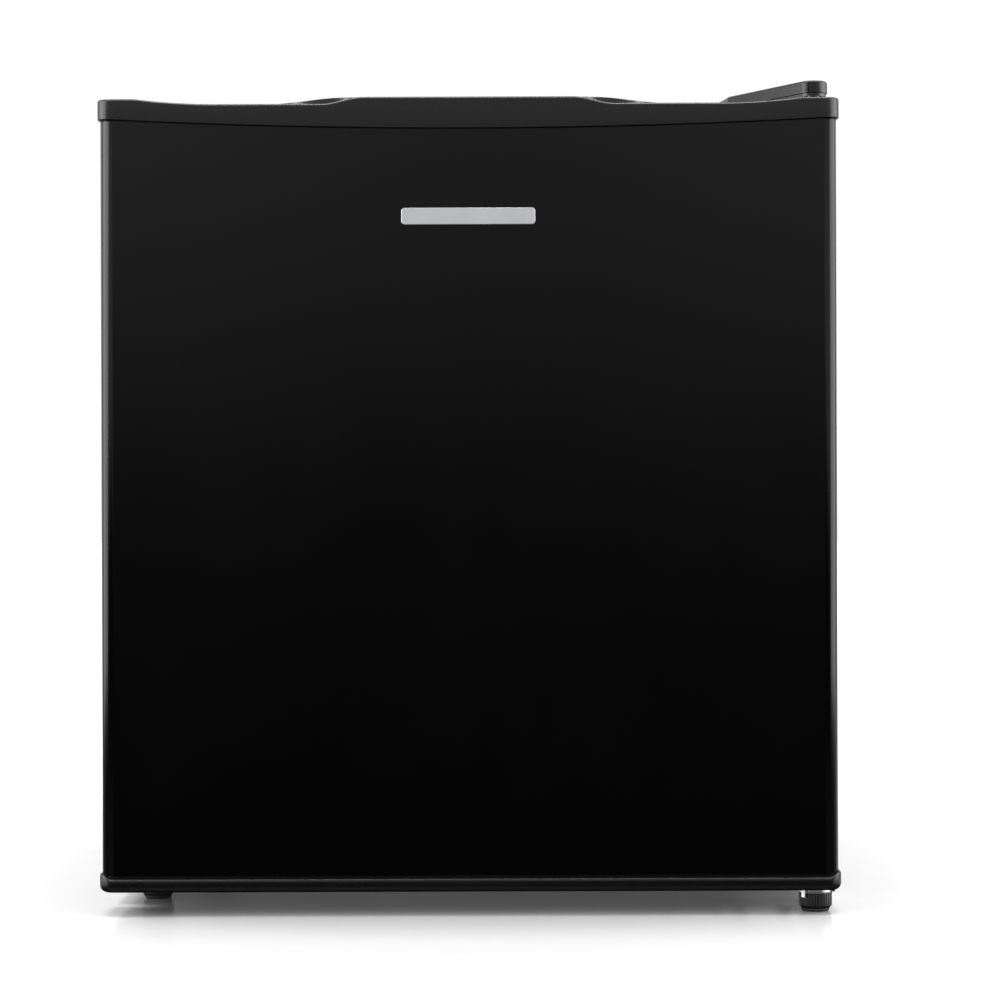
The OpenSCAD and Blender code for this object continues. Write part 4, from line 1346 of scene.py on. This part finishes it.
@dataclass
class Compressor:
    """Sealed compressor: two drawn shells with a welded seam, on legs and rubber mounts."""

    shell: float = 53.6 * MM
    flange: float = 58.9 * MM
    dome: float = 56 * MM
    bend: float = 22 * MM

    def build(self) -> None:
        """Makes the shells as turned forms and dresses the rest."""
        low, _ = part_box("compressor_base")
        top_low, top_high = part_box("compressor_top")
        centre = ((top_low.x + top_high.x) / 2, (top_low.y + top_high.y) / 2)
        seam = top_low.z - low.z
        flat, r = self.shell - self.bend, 1.4 * MM
        lower = [(0.0, 0.0), (flat, 0.0)] + arc((flat, self.bend), self.bend, -80, 0, 12)
        lower += [(self.shell, seam - 5 * MM)] + arc((self.flange - r, seam - r), r, -90, 0, 4)
        lower += [(self.flange, seam), (0.0, seam)]
        base = lathe("compressor_lower_shell", lower, (*centre, low.z), 96)
        height = top_high.z - top_low.z
        upper = [(0.0, 0.0), (self.flange, 0.0)] + arc((self.flange - 1.2 * MM, 1.6 * MM), 1.2 * MM, 0, 90, 4)
        upper += [(self.dome, 3.4 * MM), (self.dome, height - 27 * MM)]
        upper += arc((self.dome - self.bend, height - 27 * MM), self.bend, 0, 66, 12)
        upper += [(r * MM, height - drop * MM) for r, drop in ((30, 3.6), (24, 1.4), (12, 0.3), (0, 0))]
        dome = lathe("compressor_upper_shell", upper, (*centre, top_low.z), 96)
        for mesh, node in ((base, "compressor_base"), (dome, "compressor_top")):
            piece = new_piece(mesh.name, mesh, Finish.BLACK_PAINT, "cabinet", 30)
            stand_for(node)
        self.weld_bead(centre, top_low.z)
        soften("compressor_legs", 0.8 * MM, Finish.BLACK_PAINT, 3)
        soften("rubber_mounts", 0.8 * MM, Finish.RUBBER, 3)
        soften("mount_bolts", 0.4 * MM, Finish.ZINC)
        soften("relay_box", 2.0 * MM, Finish.RELAY_PLASTIC, 3)

    def weld_bead(self, centre: Flat, z: float) -> None:
        """Makes the rippled weld that joins the two shells.

        Args:
            centre: Where the shells' axis stands.
            z: Height of the seam.
        """
        name = "compressor_weld"
        rng = random.Random(7)
        path = []
        for i in range(361):
            a = 2 * math.pi * i / 360
            r = self.flange - 0.2 * MM + rng.uniform(-0.08, 0.08) * MM
            path.append(Vector((centre[0] + r * math.cos(a), centre[1] + r * math.sin(a), z + 0.1 * MM)))
        piece = new_piece(name, tube(name, path, 1.1 * MM, 8), Finish.BLACK_PAINT, "cabinet", 60)


@dataclass
class Cooling:
    """The refrigerant's circuit and the condenser on the back."""

    compressor: Compressor = field(default_factory=Compressor)

    def build(self) -> None:
        """Builds and dresses the circuit."""
        self.compressor.build()
        soften("condenser_tube", 0.0, Finish.BLACK_PAINT)
        soften("condenser_wires", 0.0, Finish.BLACK_PAINT)
        soften("condenser_clips", 0.5 * MM, Finish.BLACK_PAINT)
        soften("filter_drier", 0.8 * MM, Finish.COPPER, 3)
        for node in ("discharge_pipe", "suction_pipe", "capillary_tube"):
            soften(node, 0.0, Finish.COPPER)


# ---------------------------------------------------------------- the inside


@dataclass
class IceBox:
    """Roll-bonded aluminium evaporator with its frame and flap."""

    channel: float = 2.2 * MM
    flatness: float = 0.55
    pitch: float = 19 * MM
    ribs: int = 5

    def build(self) -> None:
        """Builds the channels on the box and dresses its pieces."""
        soften("evaporator_box", 0.4 * MM, Finish.ALUMINIUM, 2)
        soften("evaporator_spacers", 0.6 * MM, Finish.TRIM_WHITE)
        soften("ice_box_frame", 1.2 * MM, Finish.TRIM_WHITE, 3)
        soften("ice_box_flap", 0.7 * MM, Finish.FLAP_FROSTED, 3)
        low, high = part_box("evaporator_box")
        for word, z, down in (("under", low.z, -1), ("inside", low.z + 1.5 * MM, 1)):
            self.channels(f"evaporator_channel_{word}", low, high, z, down)
        self.flap_ribs()

    def channels(self, name: str, low: Vector, high: Vector, z: float, side: int) -> None:
        """Makes the raised serpentine channel on the box's floor.

        Args:
            name: The piece's name.
            low: Lowest corner of the box.
            high: Highest corner of the box.
            z: Height of the sheet's face.
            side: 1 for the upper face, -1 for the lower; not used.
        """
        margin = 22 * MM
        x0, x1 = low.x + margin, high.x - margin
        y, end = low.y + 20 * MM, high.y - 14 * MM
        path: list[Vector] = []
        forward = True
        while y < end:
            row = (x0, x1) if forward else (x1, x0)
            path += [Vector((row[0] + (row[1] - row[0]) * i / 12, y, z)) for i in range(13)]
            bend = self.pitch / 2
            turn = 1 if forward else -1
            if y + self.pitch < end:
                for i in range(1, 8):
                    a = math.pi * i / 8
                    path.append(Vector((row[1] + turn * bend * math.sin(a), y + bend * (1 - math.cos(a)), z)))
            y += self.pitch
            forward = not forward
        mesh = tube(name, path, self.channel, 12)
        squeeze = Matrix.Scale(self.flatness, 4, (0, 0, 1))
        mesh.transform(Matrix.Translation((0, 0, z)) @ squeeze @ Matrix.Translation((0, 0, -z)))
        piece = new_piece(name, mesh, Finish.ALUMINIUM, "cabinet", 60)

    def flap_ribs(self) -> None:
        """Makes the fine moulded ribs across the flap's face."""
        low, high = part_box("ice_box_flap")
        face = low.y + 7.5 * MM
        margin = 14 * MM
        span = high.x - low.x - 2 * margin
        for number in range(self.ribs):
            z = low.z + (14 + 13 * number) * MM
            path = [Vector((low.x + margin + span * i / 20, face, z)) for i in range(21)]
            name = f"flap_rib_{number + 1}"
            rib = new_piece(name, tube(name, path, 0.9 * MM, 10), Finish.FLAP_FROSTED, "ice_box_flap", 60)


@dataclass
class Thermostat:
    """Thermostat box with its knob, pointer and dial marks."""

    marks: int = 8
    dial_radius: float = 21.5 * MM
    dial_start: float = 225.0
    sweep: float = 270.0

    def build(self) -> None:
        """Dresses the box and knob and makes the marks."""
        soften("thermostat_housing", 1.0 * MM, Finish.TRIM_WHITE, 3)
        soften("thermostat_switch", 0.3 * MM, Finish.ZINC)
        soften("thermostat_knob", 0.35 * MM, Finish.KNOB_GREY, 2, 40)
        soften("sensor_tube", 0.0, Finish.COPPER)
        low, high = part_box("thermostat_knob")
        centre = ((low.x + high.x) / 2, (low.z + high.z) / 2)
        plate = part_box("thermostat_housing")[0].y
        for i in range(self.marks):
            a = math.radians(self.dial_start - self.sweep * i / (self.marks - 1))
            length = (1.2 + 0.35 * i) * MM
            ends = []
            for r in (self.dial_radius, self.dial_radius + length):
                ends.append(Vector((centre[0] + r * math.cos(a), plate, centre[1] + r * math.sin(a))))
            name = f"dial_mark_{i + 1}"
            mark = new_piece(name, tube(name, ends, 0.45 * MM, 8), Finish.DIAL_INK, "cabinet", 60)
        a = math.radians(self.dial_start)
        ends = []
        for r in (3 * MM, 11 * MM):
            ends.append(Vector((centre[0] + r * math.cos(a), low.y, centre[1] + r * math.sin(a))))
        name = "knob_pointer"
        pointer = new_piece(name, tube(name, ends, 0.6 * MM, 8), Finish.DIAL_INK, "thermostat_knob", 60)


@dataclass
class Inside:
    """Everything in the cavity."""

    ice_box: IceBox = field(default_factory=IceBox)
    thermostat: Thermostat = field(default_factory=Thermostat)

    def build(self) -> None:
        """Builds the ice box and thermostat and dresses the tray and shelf."""
        self.ice_box.build()
        self.thermostat.build()
        soften("drip_tray", 0.6 * MM, Finish.TRIM_WHITE, 3)
        soften("wire_shelf", 0.0, Finish.WIRE_COAT)


# ---------------------------------------------------------------- the studio


@dataclass
class Studio:
    """Pale floor, soft light and the camera in front of the door.

    The floor is left out of mirror-like reflections, where the sky's lower half stands
    for it, so that the dark door keeps its depth.
    """

    distance: float = 1.6
    side: float = 18.4 * MM
    height: float = 248.3 * MM
    lens: float = 96.4
    roll: float = 0.19
    floor_half: float = 14.0
    floor_z: float = 0.0
    floor_gloss: float = 0.15
    glow_slope: float = 1.6
    glow_start: float = -0.5
    dim: float = 1.1
    white: float = 1.04
    bounce: float = 0.3
    sky_rise: float = 7.5
    sky_level: float = -0.06
    flag_shade: float = 0.5
    flag_slope: float = 4.0

    def build(self) -> None:
        """Makes the floor, the world, the lights and the camera."""
        self.floor()
        self.world()
        self.lights()
        self.camera()
        bpy.context.scene.view_settings.view_transform = "Standard"

    def floor(self) -> None:
        """Makes the pale satin floor, with a painted glow: it emits light behind the fridge, rising with
        depth, so the far floor shows white.
        """
        h = self.floor_half
        corners = [(-h, -h, self.floor_z), (h, -h, self.floor_z), (h, h, self.floor_z), (-h, h, self.floor_z)]
        mesh = mesh_from("floor", corners, [(0, 1, 2, 3)])
        g = Graph("studio_floor")
        # Painted glow: a mask rising from 0 to 1 behind the fridge, where the floor emits light as a painted
        # pool of light; near and in front of the fridge it does not glow.
        behind = g.ramp(g.axis(1) * self.glow_slope + self.glow_start, [(0.0, 0.0), (1.0, 1.0)])
        speck = g.noise(40.0, 2.0)
        mesh.materials.append(g.finish(
            Base_Color=g.blend(speck, (0.89, 0.89, 0.89), (0.91, 0.91, 0.91)),
            Roughness=0.16 + 0.03 * speck,
            Specular_IOR_Level=self.floor_gloss,
            # painted glow behind the fridge, driven by the mask above
            Emission_Color=g.blend(behind, (0.0, 0.0, 0.0), (1.0, 1.0, 1.0)),
            Emission_Strength=0.7,
        ))
        plane = bpy.data.objects.new("floor", mesh)
        plane.visible_glossy = False
        bpy.context.scene.collection.objects.link(plane)

    def world(self) -> None:
        """Sets a white sky behind the fridge, and a dim one in front that brightens upwards."""
        sky = Sky("studio_sky")
        aside, ahead, up = (sky.direction(axis) for axis in range(3))
        behind = (ahead * 1.1 + 0.35).clamped() * (up * 3.0 + 1.3).clamped()
        rise = (up * self.sky_rise + self.sky_level).clamped()
        flag = (self.flag_shade + sky.math("ABSOLUTE", aside) * self.flag_slope).clamped()
        ground = (up * -2.2 - 0.5).clamped() * (0.4 - ahead).clamped()
        front = (rise * flag * self.dim + ground * self.bounce).clamped()
        sky.shine(front + (1.0 - front) * behind * self.white)

    def lights(self) -> None:
        """Makes the overhead panel and the two side panels."""
        self.panel("overhead", (0.0, -0.15, 1.9), (0.0, -0.15, 0.0), (1.8, 0.4), 36.0)
        self.panel("left_side", (-1.5, -0.45, 0.6), (-0.2, -0.2, 0.3), (1.3, 1.6), 34.0, True)
        self.panel("right_side", (1.5, -0.35, 0.6), (0.2, -0.2, 0.3), (1.3, 1.6), 30.0, True)

    def panel(
        self, name: str, place: Point, target: Point, size: Flat, power: float, card: bool = False
    ) -> None:
        """Adds one soft rectangular light that faces a point.

        Args:
            name: The light's name.
            place: Its centre.
            target: The point it faces.
            size: Width and height.
            power: Power in watts.
            card: True for a reflector that is only seen in glossy surfaces.
        """
        data = bpy.data.lights.new(name, "AREA")
        data.shape = "RECTANGLE"
        data.size, data.size_y = size
        data.energy = power
        lamp = bpy.data.objects.new(name, data)
        lamp.location = place
        lamp.rotation_euler = (Vector(target) - Vector(place)).to_track_quat("-Z", "Y").to_euler()
        lamp.visible_diffuse = not card
        bpy.context.scene.collection.objects.link(lamp)

    def camera(self) -> None:
        """Places the camera square to the door, with the slight roll of a hand-set tripod."""
        data = bpy.data.cameras.new("camera")
        data.lens = self.lens
        data.sensor_width = 36.0
        eye = bpy.data.objects.new("camera", data)
        eye.location = (self.side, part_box("door_skin")[0].y - self.distance, self.height)
        eye.rotation_mode = "XYZ"
        upright = Matrix.Rotation(math.radians(90), 4, "X")
        eye.rotation_euler = (upright @ Matrix.Rotation(math.radians(-self.roll), 4, "Z")).to_euler()
        bpy.context.scene.collection.objects.link(eye)
        bpy.context.scene.camera = eye


# ---------------------------------------------------------------- assembly


def main() -> None:
    """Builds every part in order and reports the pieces."""
    logging.basicConfig(level=logging.INFO, format="%(name)s: %(message)s")
    for part in (Studio(), Cabinet(), Cooling(), Inside(), Door()):
        part.build()
        log.info("built %s", type(part).__name__)


if __name__ == "__main__":
    main()
